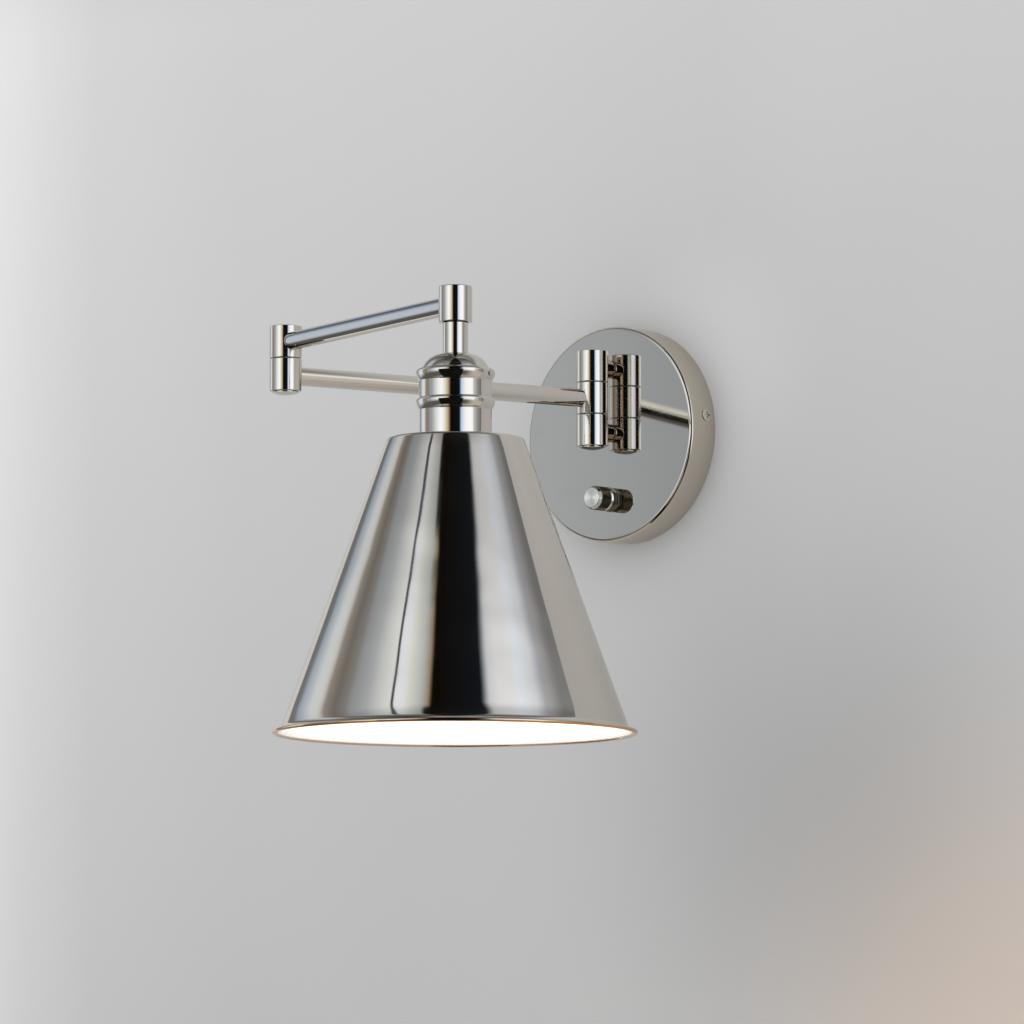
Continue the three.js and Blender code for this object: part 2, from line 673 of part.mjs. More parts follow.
// One bead of the cup, from its top down: its nose, then a straight face that runs into a cove.
function bead(top) {
  const band = cupDiameter / 2;
  const nose = [band + cupBeadBulge - cupBeadNose, top - cupBeadNose];
  const cove = [band + cupBeadCove, top - cupBeadHeight];
  const across = cove[0] - nose[0];
  const down = nose[1] - cove[1];
  const reach = Math.hypot(across, down);
  const face = THREE.MathUtils.radToDeg(
    Math.acos((cupBeadNose + cupBeadCove) / reach) - Math.atan2(down, across));
  const start = THREE.MathUtils.radToDeg(Math.acos((band - nose[0]) / cupBeadNose));
  return [...arc(...nose, cupBeadNose, start, face, 5), ...arc(...cove, cupBeadCove, 180 + face, 180, 2)];
}

function socketCup() {
  const band = cupDiameter / 2;
  const top = domeBase - fitGap;
  const beads = [...bead(domeBase - fitGap), ...bead(upperBandBase)];
  const foot = arc(band + cupFlare, cupBase + cupFlare, cupFlare, 180, 240, 2);
  const body = revolve([[cupBore, top], ...beads, ...foot, [band + cupFlare / 2, cupBase],
    [cupBore, cupBase]], medium);
  const screwHole = alongX(rod(cupScrewDiameter / 2 + fitGap, cupBore - 1, band + 5, small))
    .rotateZ(radians(cupScrewTurn))
    .translate(0, 0, domeBase - cupBeadHeight / 2);
  return cut(body, screwHole);
}

// The shade's wall is a sheet: its middle line is offset to its outside and its inside.
function sheet(line, thickness) {
  return [1, -1].map((side) => line.map(([r, z], i) => {
    const [r0, z0] = line[Math.max(i - 1, 0)];
    const [r1, z1] = line[Math.min(i + 1, line.length - 1)];
    const length = Math.hypot(r1 - r0, z1 - z0);
    const half = (side * thickness) / 2;
    return [r - ((z1 - z0) / length) * half, z + ((r1 - r0) / length) * half];
  }));
}

const shadeHole = socketDiameter / 2 + fitGap;
const shadeTopRadius = shadeTopDiameter / 2;
const coneAngle = THREE.MathUtils.radToDeg(Math.atan2(shadeConeDrop, shadeConeMouth / 2 - shadeTopRadius));
const rollRadius = shadeRollDiameter / 2;
const shadeTop = -shadeWall / 2;

// The flare leaves the cone smoothly and ends in the middle of the rolled edge.
function flareArc() {
  const flareStart = shadeTop - shadeConeDrop;
  const from = 270 - coneAngle;
  const to = 270 - shadeFlareEnd;
  const centreR = shadeConeMouth / 2 - shadeFlareRadius * Math.cos(radians(from));
  const centreZ = flareStart - shadeFlareRadius * Math.sin(radians(from));
  return arc(centreR, centreZ, shadeFlareRadius, from, to, 4);
}

// The edge is rolled round the end of the flare, from the sheet's outside to its inside.
function rolledEdge([edgeR, edgeZ]) {
  const heading = -shadeFlareEnd;
  const back = 180 - THREE.MathUtils.radToDeg(Math.asin(shadeWall / 2 / rollRadius));
  return arc(edgeR, edgeZ, rollRadius, heading + back, heading - back, 6);
}

function shade() {
  const s = shadeShoulder;
  const shoulderCentre = shadeTopRadius - s * Math.tan(radians(coneAngle / 2));
  const line = [
    [shadeHole, shadeTop],
    ...arc(shoulderCentre, shadeTop - s, s, 90, 90 - coneAngle, 3),
    ...flareArc(),
  ];
  const [outside, inside] = sheet(line, shadeWall);
  const edge = rolledEdge(line[line.length - 1]);
  return revolve([...outside.slice(0, -1), ...edge, ...inside.reverse().slice(1)], fine);
}

// The ring that clamps the shade up against the cup, turned on the socket's thread.
function shadeRing() {
  const bore = socketDiameter / 2 + fitGap;
  const top = -shadeWall - fitGap;
  const hub = ringHubDiameter / 2;
  return revolve([[bore, top], [ringDiameter / 2, top], [ringDiameter / 2, top - ringFlange],
    [hub, top - ringFlange], [hub, top - ringHeight], [bore, top - ringHeight]], round);
}

function lampSocket(bossTop, mouth) {
  const r = socketDiameter / 2;
  const boss = socketBossDiameter / 2;
  const shoulder = bossTop - socketShoulder;
  const floor = shoulder - socketFloor;
  const cavity = shellDiameter / 2 + fitGap;
  const body = revolve([[0, bossTop], [boss, bossTop], [boss, shoulder], [r - socketRound, shoulder],
    [r, shoulder - socketRound], [r, mouth], [cavity, mouth], [cavity, floor], [0, floor]], round);
  const thread = rod(stemTailDiameter / 2 + fitGap, shoulder, bossTop + 1, small);
  const lead = rod(leadHole / 2, floor - 1, bossTop, small);
  return cut(body, thread, lead);
}

// The glass: a straight neck that swells by a smooth curve to a round end.
function bulbGlass(neckTop) {
  const big = bulbGlassDiameter / 2;
  const neck = bulbNeckDiameter / 2;
  const centre = neckTop - bulbGlassLength + big;
  const swellTop = neckTop - bulbNeckLength;
  const swell = (wall, steps) => Array.from({ length: steps + 1 }, (_, i) => {
    const t = i / steps;
    const ease = t * t * (3 - 2 * t);
    return [neck - wall + (big - neck) * ease, swellTop + (centre - swellTop) * t];
  });
  const outer = [[neck, neckTop], ...swell(0, 6), ...arc(0, centre, big, 0, -90, 5).slice(1)];
  const inner = [...arc(0, centre, big - bulbGlassWall, -90, 0, 3),
    ...swell(bulbGlassWall, 4).reverse().slice(1), [neck - bulbGlassWall, neckTop]];
  const end = centre - big;
  return revolve([...outer.slice(0, -1), [0, end], [0, end + bulbGlassWall], ...inner.slice(1)], round);
}

function headParts(head) {
  const domeTop = -headBarrelHeight / 2 - stemLength;
  place(head, "stem", stem(), nickel());
  const nutTop = headBarrelHeight / 2 - headCapThickness - fitGap;
  place(head, "stem_nut",
    hexNut(stemNutFlats, 2 * (stemNeckRadius() + fitGap), nutTop - stemNutHeight, nutTop), zincSteel());
  const cup = frameAt(head, [0, 0, domeTop]);
  place(cup, "cup_dome", dome(), nickel());
  const cupNutTop = domeUnder(cupNutFlats / Math.sqrt(3)) - fitGap;
  place(cup, "cup_nut",
    hexNut(cupNutFlats, stemTailDiameter + 2 * fitGap, cupNutTop - cupNutHeight, cupNutTop), zincSteel());
  place(cup, "socket_cup", socketCup(), nickel());
  place(cup, "cup_screw", alongX(rod(cupScrewDiameter / 2, cupBore, cupBore + cupScrewLength, small))
    .rotateZ(radians(cupScrewTurn)), zincSteel(), [0, 0, domeBase - cupBeadHeight / 2]);
  socketParts(cup, cupNutTop - cupNutHeight - fitGap);
  const shadeFrame = frameAt(cup, [0, 0, cupBase - fitGap]);
  place(shadeFrame, "shade", shade(), nickel());
  place(shadeFrame, "shade_ring", shadeRing(), phenolic());
}

function socketParts(cup, bossTop) {
  const mouth = cupBase - socketOverhang;
  const floor = bossTop - socketShoulder - socketFloor;
  place(cup, "lamp_socket", lampSocket(bossTop, mouth), phenolic());
  const shellTop = floor - fitGap;
  const shell = shellDiameter / 2;
  place(cup, "socket_shell", revolve([[shellHole / 2, shellTop], [shell, shellTop],
    [shell, shellTop - shellLength], [shell - shellWall, shellTop - shellLength],
    [shell - shellWall, shellTop - shellWall],
    [shellHole / 2, shellTop - shellWall]], round), brass());
  const contact = contactDiameter / 2;
  const leafTop = shellTop - contactRise;
  const leafBase = leafTop - contactThickness;
  place(cup, "socket_contact", revolve([[0, shellTop], [contactRivet / 2, shellTop], [contact, leafTop],
    [contact, leafBase], [0, leafBase]], small), brass());
  const tipTop = leafBase - fitGap;
  const tipBase = tipTop - bulbTipHeight;
  place(cup, "bulb_tip", revolve([[0, tipTop], [bulbTipDiameter * 0.3, tipTop],
    [bulbTipDiameter / 2, tipTop - bulbTipBevel], [bulbTipDiameter / 2, tipBase], [0, tipBase]],
  small), zincSteel());
  const baseTop = tipBase - fitGap;
  const base = bulbBaseDiameter / 2;
  const baseEnd = baseTop - bulbBaseLength;
  const w = bulbBaseWall;
  const taper = baseTop - bulbBaseTaper;
  const b = bulbBaseBevel;
  place(cup, "bulb_base", revolve([[bulbTipDiameter / 2, baseTop], [base - b, taper], [base, taper - b],
    [base, baseEnd], [base - w, baseEnd], [base - w, taper - b - w / 2], [base - b - w, taper - w],
    [bulbTipDiameter / 2, baseTop - w]], round), brass());
  place(cup, "bulb_glass", bulbGlass(baseEnd + bulbSeat), frosted());
}

wallPlateParts();
postParts();
dimmerParts();
shoulderParts();
const lowerArm = frameAt(parts, [0, -shoulderY, shoulderHeight], radians(lowerArmYaw));
lowerArmParts(lowerArm);
const upperArm = frameAt(lowerArm, [lowerArmLength, 0, barrelPitch], radians(elbowTurn));
upperArmParts(upperArm);
const head = frameAt(upperArm, [upperArmLength, 0, 0]);
headParts(head);

export default parts;
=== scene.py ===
"""Dresses a swing arm wall sconce: polished nickel, an enamelled shade and a lit bulb.

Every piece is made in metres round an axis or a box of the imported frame. +Z is up, the
wall is the plane y = 0, and the lamp stands out from it towards -Y.
"""
import json
import math

import bmesh
import bpy
from bpy.props import FloatProperty, FloatVectorProperty, IntProperty, PointerProperty
from mathutils import Matrix, Vector


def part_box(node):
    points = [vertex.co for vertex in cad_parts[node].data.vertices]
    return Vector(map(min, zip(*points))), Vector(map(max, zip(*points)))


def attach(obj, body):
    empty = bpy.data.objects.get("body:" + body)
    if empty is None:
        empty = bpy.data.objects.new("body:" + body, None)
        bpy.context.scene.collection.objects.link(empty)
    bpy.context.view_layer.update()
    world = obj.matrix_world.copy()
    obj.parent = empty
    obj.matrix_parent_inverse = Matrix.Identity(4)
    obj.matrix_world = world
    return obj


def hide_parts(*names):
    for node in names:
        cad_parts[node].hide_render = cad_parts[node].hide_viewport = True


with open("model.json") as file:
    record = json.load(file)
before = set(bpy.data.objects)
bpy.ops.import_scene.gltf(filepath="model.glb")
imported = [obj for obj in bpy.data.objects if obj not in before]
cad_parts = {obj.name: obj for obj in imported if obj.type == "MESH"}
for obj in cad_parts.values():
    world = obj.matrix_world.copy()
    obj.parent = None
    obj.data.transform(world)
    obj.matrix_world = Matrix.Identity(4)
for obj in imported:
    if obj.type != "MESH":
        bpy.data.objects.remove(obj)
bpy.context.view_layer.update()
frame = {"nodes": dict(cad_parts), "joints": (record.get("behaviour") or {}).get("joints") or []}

bl_info = {
    "name": "Swing Arm Wall Sconce",
    "version": (1, 0, 0),
    "blender": (4, 5, 0),
    "location": "View3D > Sidebar > Sconce",
    "description": "Makes the visible pieces of a swing arm wall sconce round its solid frame",
    "category": "Object",
}

MM = 0.001
UP = Vector((0, 0, 1))
OUT = Vector((0, -1, 0))  # out of the wall

# ---- Axes and sizes read from the frame ---------------------------------------------------
JOINTS = {joint["name"]: joint for joint in frame["joints"]}
SHOULDER = Vector(JOINTS["shoulder_hinge"]["pos_m"])
ELBOW = Vector(JOINTS["elbow_hinge"]["pos_m"])
HEAD = Vector(JOINTS["shade_swivel"]["pos_m"])
KNOB = Vector(JOINTS["dimmer_turn"]["pos_m"])


def foot(point):
    """The point on the level z = 0 below a vertical axis, from which heights are counted."""
    return Vector((point.x, point.y, 0))


def heights(node):
    low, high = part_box(node)
    return low.z, high.z


def depths(node):
    """How far a node reaches out of the wall: its nearest and farthest distance."""
    low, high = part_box(node)
    return -high.y, -low.y


def half_width(node):
    low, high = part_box(node)
    return (high.x - low.x) / 2


# ---- Settings -----------------------------------------------------------------------------
def colour(name, description, default):
    return FloatVectorProperty(
        name=name, description=description, subtype="COLOR", size=3, min=0, max=1, default=default)


def length(name, description, default):
    return FloatProperty(
        name=name, description=description, subtype="DISTANCE", unit="LENGTH", min=0, default=default)


class SconceForm(bpy.types.PropertyGroup):
    """Sizes of the visible pieces that the solid frame doesn't fix"""

    edge: length("Edge", "Rounding of a turned piece's edges", 0.4 * MM)
    plate_edge: length("Plate edge", "Rounding of the wall plate's front edge", 2 * MM)
    plate_wall: length("Plate wall", "Thickness of the wall plate", 1.2 * MM)
    tube_wall: length("Tube wall", "Thickness of the arm tubes", 1 * MM)
    socket_depth: length("Socket depth", "How far a tube sits inside a barrel", 2.8 * MM)
    cap_rise: length("Cap rise", "Height of a knuckle cap's dome", 1.4 * MM)
    enamel: length("Enamel", "Thickness of the enamel inside the shade", 0.15 * MM)
    knurls: IntProperty(name="Knurls", description="Ridges round the knob", min=12, default=56)
    knurl_height: length("Knurl height", "Height of a ridge of the knob", 0.35 * MM)
    ring_ribs: IntProperty(name="Ring ribs", description="Ribs round the shade ring", min=6, default=30)
    thread_pitch: length("Thread pitch", "Pitch of the thread that carries the shade ring", 2 * MM)


class SconceFinish(bpy.types.PropertyGroup):
    """Colours and gloss of the finishes"""

    nickel: colour("Nickel", "Polished nickel plate", (0.70, 0.66, 0.60))
    nickel_rim: colour("Nickel rim", "How nickel darkens where it turns away", (0.93, 0.92, 0.90))
    # Painted reflection: the plate's side is darker and warmer, for the shaded wall that it mirrors.
    plate_side_painted_reflection: colour("Nickel side", "Colour round the wall plate's side", (0.645, 0.58, 0.495))
    # Painted reflection: orange-brown under the rolled edge, for warm light that it mirrors.
    lip_painted_warm_reflection: colour("Nickel lip", "Colour under the shade's rolled edge", (0.82, 0.40, 0.14))
    # Painted shade: the posts between the plate and the shoulder are darker and browner than the plate.
    post_painted_shade: colour("Nickel post", "Colour of the posts under the shoulder", (0.52, 0.43, 0.33))
    # Painted reflection: the upper arm's top is cooler and darker than the nickel elsewhere.
    arm_top_painted_reflection: colour("Cool nickel", "Colour along the upper arm's top", (0.46, 0.468, 0.488))
    # Painted shade: the knob's outer edge is near black.
    knob_edge_painted_shade: colour("Nickel knob", "Colour round the knob's outer edge", (0.12, 0.09, 0.06))
    nickel_roughness: FloatProperty(
        name="Nickel roughness", description="Blur of the polish", min=0, max=1, default=0.04)
    ripple: length("Ripple", "Depth of the slow waves that spinning leaves in the shade", 0.14 * MM)
    enamel: colour("Enamel", "Gloss white inside the shade", (0.93, 0.92, 0.88))
    # Painted light: a warm glow line on the enamel next to the rolled edge.
    enamel_painted_glow_line: colour("Enamel edge", "Colour of the enamel by the rolled edge", (0.60, 0.20, 0.04))
    glow: colour("Glow", "Light of the bulb", (1.0, 0.91, 0.78))
    glow_strength: FloatProperty(name="Glow strength", description="Brightness of the bulb",
                                 min=0, default=9.0)
    zinc: colour("Zinc", "Zinc plated steel", (0.58, 0.59, 0.60))
    brass: colour("Brass", "Bare brass", (0.72, 0.53, 0.26))
    nylon: colour("Nylon", "Natural nylon", (0.80, 0.77, 0.69))
    phenolic: colour("Phenolic", "Black moulded socket", (0.022, 0.020, 0.019))
    ground: colour("Ground screw", "Green dyed zinc", (0.07, 0.30, 0.12))


class SconceStudio(bpy.types.PropertyGroup):
    """Wall, light and camera"""

    wall: colour("Wall", "Wall paint", (0.57, 0.57, 0.572))
    # Painted light: a warm patch low on the right of the wall.
    wall_painted_warm_light: colour("Warm wall", "Colour of a warm patch low on the wall", (0.70, 0.60, 0.53))
    azimuth: FloatProperty(name="Azimuth", description="Camera's turn round the lamp",
                           subtype="ANGLE", default=math.radians(41.24))
    elevation: FloatProperty(name="Elevation", description="Camera's height above the lamp",
                             subtype="ANGLE", default=math.radians(-5.95))
    distance: length("Distance", "From the camera to the point that it looks at", 3.9273)
    lens: FloatProperty(name="Lens", description="Focal length in millimetres", default=249.18)
    aim: FloatVectorProperty(name="Aim", description="Point that the camera looks at",
                             subtype="TRANSLATION", unit="LENGTH", size=3,
                             default=(-0.04333, -0.05205, -0.04298))


def form():
    return bpy.context.scene.sconce_form


def finish():
    return bpy.context.scene.sconce_finish


def studio():
    return bpy.context.scene.sconce_studio


# ---- Node trees as expressions ---------------------------------------------------------------
class Socket:
    """A node's output. Arithmetic on it adds Math nodes to its tree."""

    def __init__(self, nodes, output):
        self.nodes = nodes
        self.output = output

    def math(self, operation, *values):
        inputs = dict(enumerate((self, *values)))
        return self.nodes.node("ShaderNodeMath", {"operation": operation}, inputs)

    def __add__(self, other):
        return self.math("ADD", other)

    def __mul__(self, other):
        return self.math("MULTIPLY", other)

    def __sub__(self, other):
        return self.math("SUBTRACT", other)

    def __rsub__(self, other):
        return self.nodes.node("ShaderNodeMath", {"operation": "SUBTRACT"}, {0: other, 1: self})

    def __truediv__(self, other):
        return self.math("DIVIDE", other)

    def __neg__(self):
        return self * -1.0

    __radd__ = __add__
    __rmul__ = __mul__

    def ramp(self, low, high):
        """0 below low, 1 above high, and smooth between them."""
        settings = {"interpolation_type": "SMOOTHSTEP"}
        inputs = {"Value": self, "From Min": low, "From Max": high}
        return self.nodes.node("ShaderNodeMapRange", settings, inputs)

    def hump(self, rise_from, rise_to, fall_from, fall_to):
        """1 between two ramps and 0 outside them."""
        return self.ramp(rise_from, rise_to) * (1.0 - self.ramp(fall_from, fall_to))


class Nodes:
    """Adds nodes to one tree."""

    def __init__(self, tree):
        self.tree = tree

    def node(self, kind, settings=None, inputs=None, output=0):
        """Adds a node: its settings are set first, then its sockets' values or links."""
        node = self.tree.nodes.new(kind)
        for name, value in (settings or {}).items():
            if name == "stops":
                self.fill_ramp(node.color_ramp, value)
            else:
                setattr(node, name, value)
        for key, value in (inputs or {}).items():
            self.feed(node.inputs[key], value)
        return Socket(self, node.outputs[output])

    def feed(self, socket, value):
        if isinstance(value, Socket):
            self.tree.links.new(value.output, socket)
        elif hasattr(value, "__len__") and len(value) == 3 and socket.type == "RGBA":
            socket.default_value = (*value, 1)
        else:
            socket.default_value = value

    @staticmethod
    def fill_ramp(ramp, stops):
        """Stops are (place from 0 to 1, colour or grey level)."""
        while len(ramp.elements) < len(stops):
            ramp.elements.new(1)
        for element, (place, level) in zip(ramp.elements, stops):
            element.position = place
            element.color = (*level, 1) if hasattr(level, "__len__") else (level, level, level, 1)

    def split(self, vector, axis):
        return self.node("ShaderNodeSeparateXYZ", None, {0: vector}, axis)

    def scaled(self, vector, level):
        return self.node("ShaderNodeVectorMath", {"operation": "SCALE"}, {0: vector, "Scale": level})

    def times(self, first, second):
        return self.node("ShaderNodeVectorMath", {"operation": "MULTIPLY"}, {0: first, 1: second})

    def tones(self, place, stops):
        """A colour or a grey level by place, from 0 to 1."""
        return self.node("ShaderNodeValToRGB", {"stops": stops}, {0: place})

    def blend(self, factor, first, second):
        """A colour that goes from first to second as factor goes from 0 to 1."""
        node = self.tree.nodes.new("ShaderNodeMix")
        node.data_type = "RGBA"
        colours = [s for s in node.inputs if s.type == "RGBA"]
        self.feed(node.inputs[0], factor)
        self.feed(colours[0], first)
        self.feed(colours[1], second)
        return Socket(self, next(s for s in node.outputs if s.type == "RGBA"))


class Finish(Nodes):
    """A material with one Principled shader that reads Object coordinates."""

    def __init__(self, name):
        self.material = bpy.data.materials.new(name)
        self.material.use_nodes = True
        super().__init__(self.material.node_tree)
        self.shader = self.tree.nodes["Principled BSDF"]
        self.place = self.node("ShaderNodeTexCoord", output="Object")

    def centred(self, point, stretch=(1, 1, 1)):
        """Object coordinates counted from a point and stretched along each axis."""
        moved = self.node("ShaderNodeVectorMath", {"operation": "SUBTRACT"}, {0: self.place, 1: point})
        return self.times(moved, stretch)

    def away(self, point, along):
        """Distance from an axis through a point along X, Y or Z."""
        spot = self.centred(point)
        first, second = [self.split(spot, axis) for axis in range(3) if axis != along]
        return (first * first + second * second).math("SQRT")

    def noise(self, scale, detail=2, place=None):
        inputs = {"Vector": place or self.place, "Scale": scale, "Detail": detail}
        return self.node("ShaderNodeTexNoise", None, inputs)

    def bump(self, height, distance, under=None):
        inputs = {"Height": height, "Distance": distance}
        if under:
            inputs["Normal"] = under
        return self.node("ShaderNodeBump", None, inputs)

    def set(self, **values):
        """Feeds the shader's sockets: base_color is the socket Base Color."""
        for key, value in values.items():
            self.feed(self.shader.inputs[key.replace("_", " ").title()], value)
        return self.material


# ---- Finishes ----------------------------------------------------------------------------------
def turning_lines(made, axis_point, along, pitch):
    """Fine lines round an axis, as polishing on a lathe leaves them."""
    stretch = [0.02, 0.02, 0.02]
    stretch[along] = 1
    return made.noise(1 / pitch, 2, made.centred(axis_point, stretch))


def nickel_finish(name, axis_point=(0, 0, 0), along=2, ripple=0.0, ripple_size=0.035, painted_zone=None,
                  painted_colour=(0, 0, 0)):
    """Polished nickel: faint turning lines, wiped smudges and slow waves in the metal. The painted zone
    marks, from the finish it is given, where a colour of painted shade or painted reflection is laid on."""
    made = Finish(name)
    smudge = made.noise(38, 4).ramp(0.42, 0.78)
    lines = turning_lines(made, axis_point, along, 0.5 * MM)
    tint = [channel * 0.955 for channel in finish().nickel]
    normal = made.bump(lines, 0.0006 * MM)
    if ripple:
        waves = made.noise(1 / ripple_size, 1)
        normal = made.bump(waves, ripple, normal)
    base = made.blend(smudge * 0.6, finish().nickel, tint)
    # Painted shade and painted reflections: where the painted zone marks, another colour covers the nickel.
    if painted_zone:
        base = made.blend(painted_zone(made), base, painted_colour)
    return made.set(
        base_color=base,
        metallic=1.0,
        specular_tint=finish().nickel_rim,
        roughness=finish().nickel_roughness + smudge * 0.025 + lines * 0.012,
        normal=normal)


def spun_face_finish(name, centre):
    """The knob's end: rings cut by the tool, which catch light in fans."""
    made = Finish(name)
    rings = (made.away(centre, 1) * (2 * math.pi / (0.32 * MM))).math("SINE")
    grain = made.noise(2600, 2)
    height = rings * 0.5 + grain * 0.3
    return made.set(
        base_color=made.blend(grain, (0.86, 0.87, 0.80), (0.94, 0.94, 0.88)),
        metallic=1.0,
        roughness=0.16 + grain * 0.1,
        normal=made.bump(height, 0.03 * MM))


def knurl_finish(name):
    """Nickel on the knurl, painted dark brown all over as painted shade, and mottled at random."""
    made = Finish(name)
    knurl_mottle = made.noise(900, 3)
    return made.set(
        base_color=made.blend(knurl_mottle.ramp(0.45, 0.7), (0.46, 0.41, 0.30), (0.20, 0.165, 0.105)),
        metallic=1.0,
        roughness=0.16 + knurl_mottle * 0.16,
        normal=made.bump(knurl_mottle, 0.01 * MM))


def enamel_finish(name, edge_low, edge_high):
    """Gloss white enamel in painted light: a faint glow from the bulb and a warm line at the rolled edge."""
    made = Finish(name)
    height = made.split(made.place, 2)
    # The line marks the enamel next to the rolled edge, where a painted warm glow is laid on.
    line = 1.0 - height.ramp(edge_low, edge_high)
    speck = made.noise(420, 3)
    body = made.blend(speck.ramp(0.3, 0.8) * 0.4, finish().enamel, (0.89, 0.87, 0.82))
    return made.set(
        base_color=made.blend(line, body, finish().enamel_painted_glow_line),
        roughness=0.22 + speck * 0.1,
        coat_weight=0.4,
        # Painted light: the enamel glows faintly, for the bulb's light that fills the shade, warmer by the
        # edge.
        emission_color=made.blend(line, (1.0, 0.96, 0.88), finish().enamel_painted_glow_line),
        emission_strength=0.2,
        normal=made.bump(made.noise(260, 2), 0.012 * MM))


def glow_finish(name, neck_height, end_height):
    """Frosted glass with the light behind it, dimmer towards the neck."""
    made = Finish(name)
    height = made.split(made.place, 2)
    near_end = 1.0 - height.ramp(end_height, neck_height)
    frost = made.noise(700, 3)
    warm = [channel * 0.55 for channel in finish().glow]
    return made.set(
        base_color=made.blend(frost, (0.90, 0.89, 0.86), (0.97, 0.96, 0.93)),
        roughness=0.45 + frost * 0.15,
        emission_color=made.blend(near_end.ramp(0.0, 0.6), warm, finish().glow),
        emission_strength=finish().glow_strength,
        normal=made.bump(frost, 0.01 * MM))


def metal_finish(name, base, roughness, patch):
    """Plated or bare metal with a patchy film and fine drawn lines."""
    made = Finish(name)
    film = made.noise(130, 4)
    lines = made.noise(900, 2, made.centred((0, 0, 0), (1, 1, 0.1)))
    return made.set(
        base_color=made.blend(film.ramp(0.35, 0.7), base, patch),
        metallic=1.0,
        roughness=roughness + film * 0.12,
        normal=made.bump(lines, 0.004 * MM))


def plastic_finish(name, base, roughness, grain_depth):
    """Moulded plastic with a fine matt grain."""
    made = Finish(name)
    grain = made.noise(1500, 3)
    mottle = made.noise(90, 3)
    paler = [min(1.0, channel * 1.35 + 0.004) for channel in base]
    return made.set(
        base_color=made.blend(mottle.ramp(0.4, 0.75) * 0.6, base, paler),
        roughness=roughness + mottle * 0.12,
        normal=made.bump(grain, grain_depth))


FINISHES = {}


def finish_of(name):
    """The material of a plain finish, made the first time that it is asked for."""
    makers = {
        "nickel": lambda: nickel_finish("polished_nickel"),
        "zinc": lambda: metal_finish("zinc_steel", finish().zinc, 0.26, (0.66, 0.62, 0.50)),
        "brass": lambda: metal_finish("bare_brass", finish().brass, 0.2, (0.52, 0.36, 0.16)),
        "nylon": lambda: plastic_finish("nylon", finish().nylon, 0.38, 0.01 * MM),
        "phenolic": lambda: plastic_finish("phenolic", finish().phenolic, 0.30, 0.012 * MM),
        "ground": lambda: metal_finish("ground_green", finish().ground, 0.32, (0.05, 0.22, 0.09)),
    }
    if name not in FINISHES:
        FINISHES[name] = makers[name]()
    return FINISHES[name]


# ---- Outlines: points of radius and height -------------------------------------------------------
def rounded(corners):
    """An outline whose corners (radius, height, rounding) become arcs, with a point held just
    past each arc so that flat stretches stay flat when they are shaded smooth."""
    count = len(corners)
    closed = not (corners[0][0] == 0 and corners[-1][0] == 0)
    points = []
    for i, corner in enumerate(corners):
        here = Vector(corner[:2])
        rounding = corner[2] if len(corner) > 2 else 0
        if not rounding or (not closed and i in (0, count - 1)):
            points.append(here)
            continue
        points += arc_at(Vector(corners[i - 1][:2]), here, Vector(corners[(i + 1) % count][:2]), rounding)
    return points


def arc_at(before, here, after, rounding):
    """The arc that rounds one corner."""
    back, on = (before - here), (after - here)
    room = 0.4 * min(back.length, on.length)
    back.normalize()
    on.normalize()
    half = back.angle(on) / 2
    reach = min(rounding / math.tan(half), room)
    centre = here + (back + on).normalized() * (reach / math.cos(half))
    start, end = here + back * reach - centre, here + on * reach - centre
    turn = start.angle_signed(end)
    steps = max(2, math.ceil(abs(turn) / math.radians(11)))
    arc = []
    for k in range(steps + 1):
        spin = Matrix.Rotation(-turn * k / steps, 2)
        arc.append(centre + spin @ start)
    hold = reach * 0.2
    return [here + back * (reach + hold), *arc, here + on * (reach + hold)]


def arc_points(centre, radius, start, end, steps):
    """Points on an arc, angles in degrees from the outline's radius direction."""
    return [Vector((centre[0] + radius * math.cos(math.radians(start + (end - start) * k / steps)),
                    centre[1] + radius * math.sin(math.radians(start + (end - start) * k / steps))))
            for k in range(steps + 1)]


def outwards(below_level):
    """The direction away from the axis that points a number of degrees below level."""
    return Vector((math.cos(math.radians(below_level)), -math.sin(math.radians(below_level))))


def shallow_dome(radius, rise, rim_height):
    """A dome's underside, from the axis out to its rim."""
    ball = (radius ** 2 + rise ** 2) / (2 * rise)
    half = math.degrees(math.asin(radius / ball))
    return arc_points((0, rim_height - rise + ball), ball, -90, -90 + half, 10)


# ---- Meshes ----------------------------------------------------------------------------------------
SHARP_ANGLE = math.radians(34)
ON_AXIS = 1e-7


def to_object(mesh_data, name, material):
    mesh = bpy.data.meshes.new(name)
    bmesh.ops.recalc_face_normals(mesh_data, faces=mesh_data.faces)
    mesh_data.to_mesh(mesh)
    mesh_data.free()
    piece = bpy.data.objects.new(name, mesh)
    bpy.context.scene.collection.objects.link(piece)
    mesh.materials.append(material)
    smooth(mesh)
    return piece


def smooth(mesh):
    mesh.shade_smooth()
    mesh.set_sharp_from_angle(angle=SHARP_ANGLE)


def turned(name, outline, origin, axis, material, segments=128):
    """A solid of revolution from an outline that runs from axis to axis or closes on itself."""
    to_axis = axis.to_track_quat("Z", "Y").to_matrix()
    shape = bmesh.new()
    rings = []
    for radius, height in outline:
        count = 1 if radius < ON_AXIS else segments
        spins = [2 * math.pi * k / segments for k in range(count)]
        rings.append([
            shape.verts.new(origin + to_axis @ Vector((radius * math.cos(a), radius * math.sin(a), height)))
            for a in spins])
    closed = len(rings[0]) > 1 or len(rings[-1]) > 1
    for lower, upper in zip(rings, rings[1:] + rings[:1] if closed else rings[1:]):
        for k in range(segments):
            corners = [lower[k % len(lower)], lower[(k + 1) % len(lower)],
                       upper[(k + 1) % len(upper)], upper[k % len(upper)]]
            corners = list(dict.fromkeys(corners))
            if len(corners) > 2:
                shape.faces.new(corners)
    return to_object(shape, name, material)


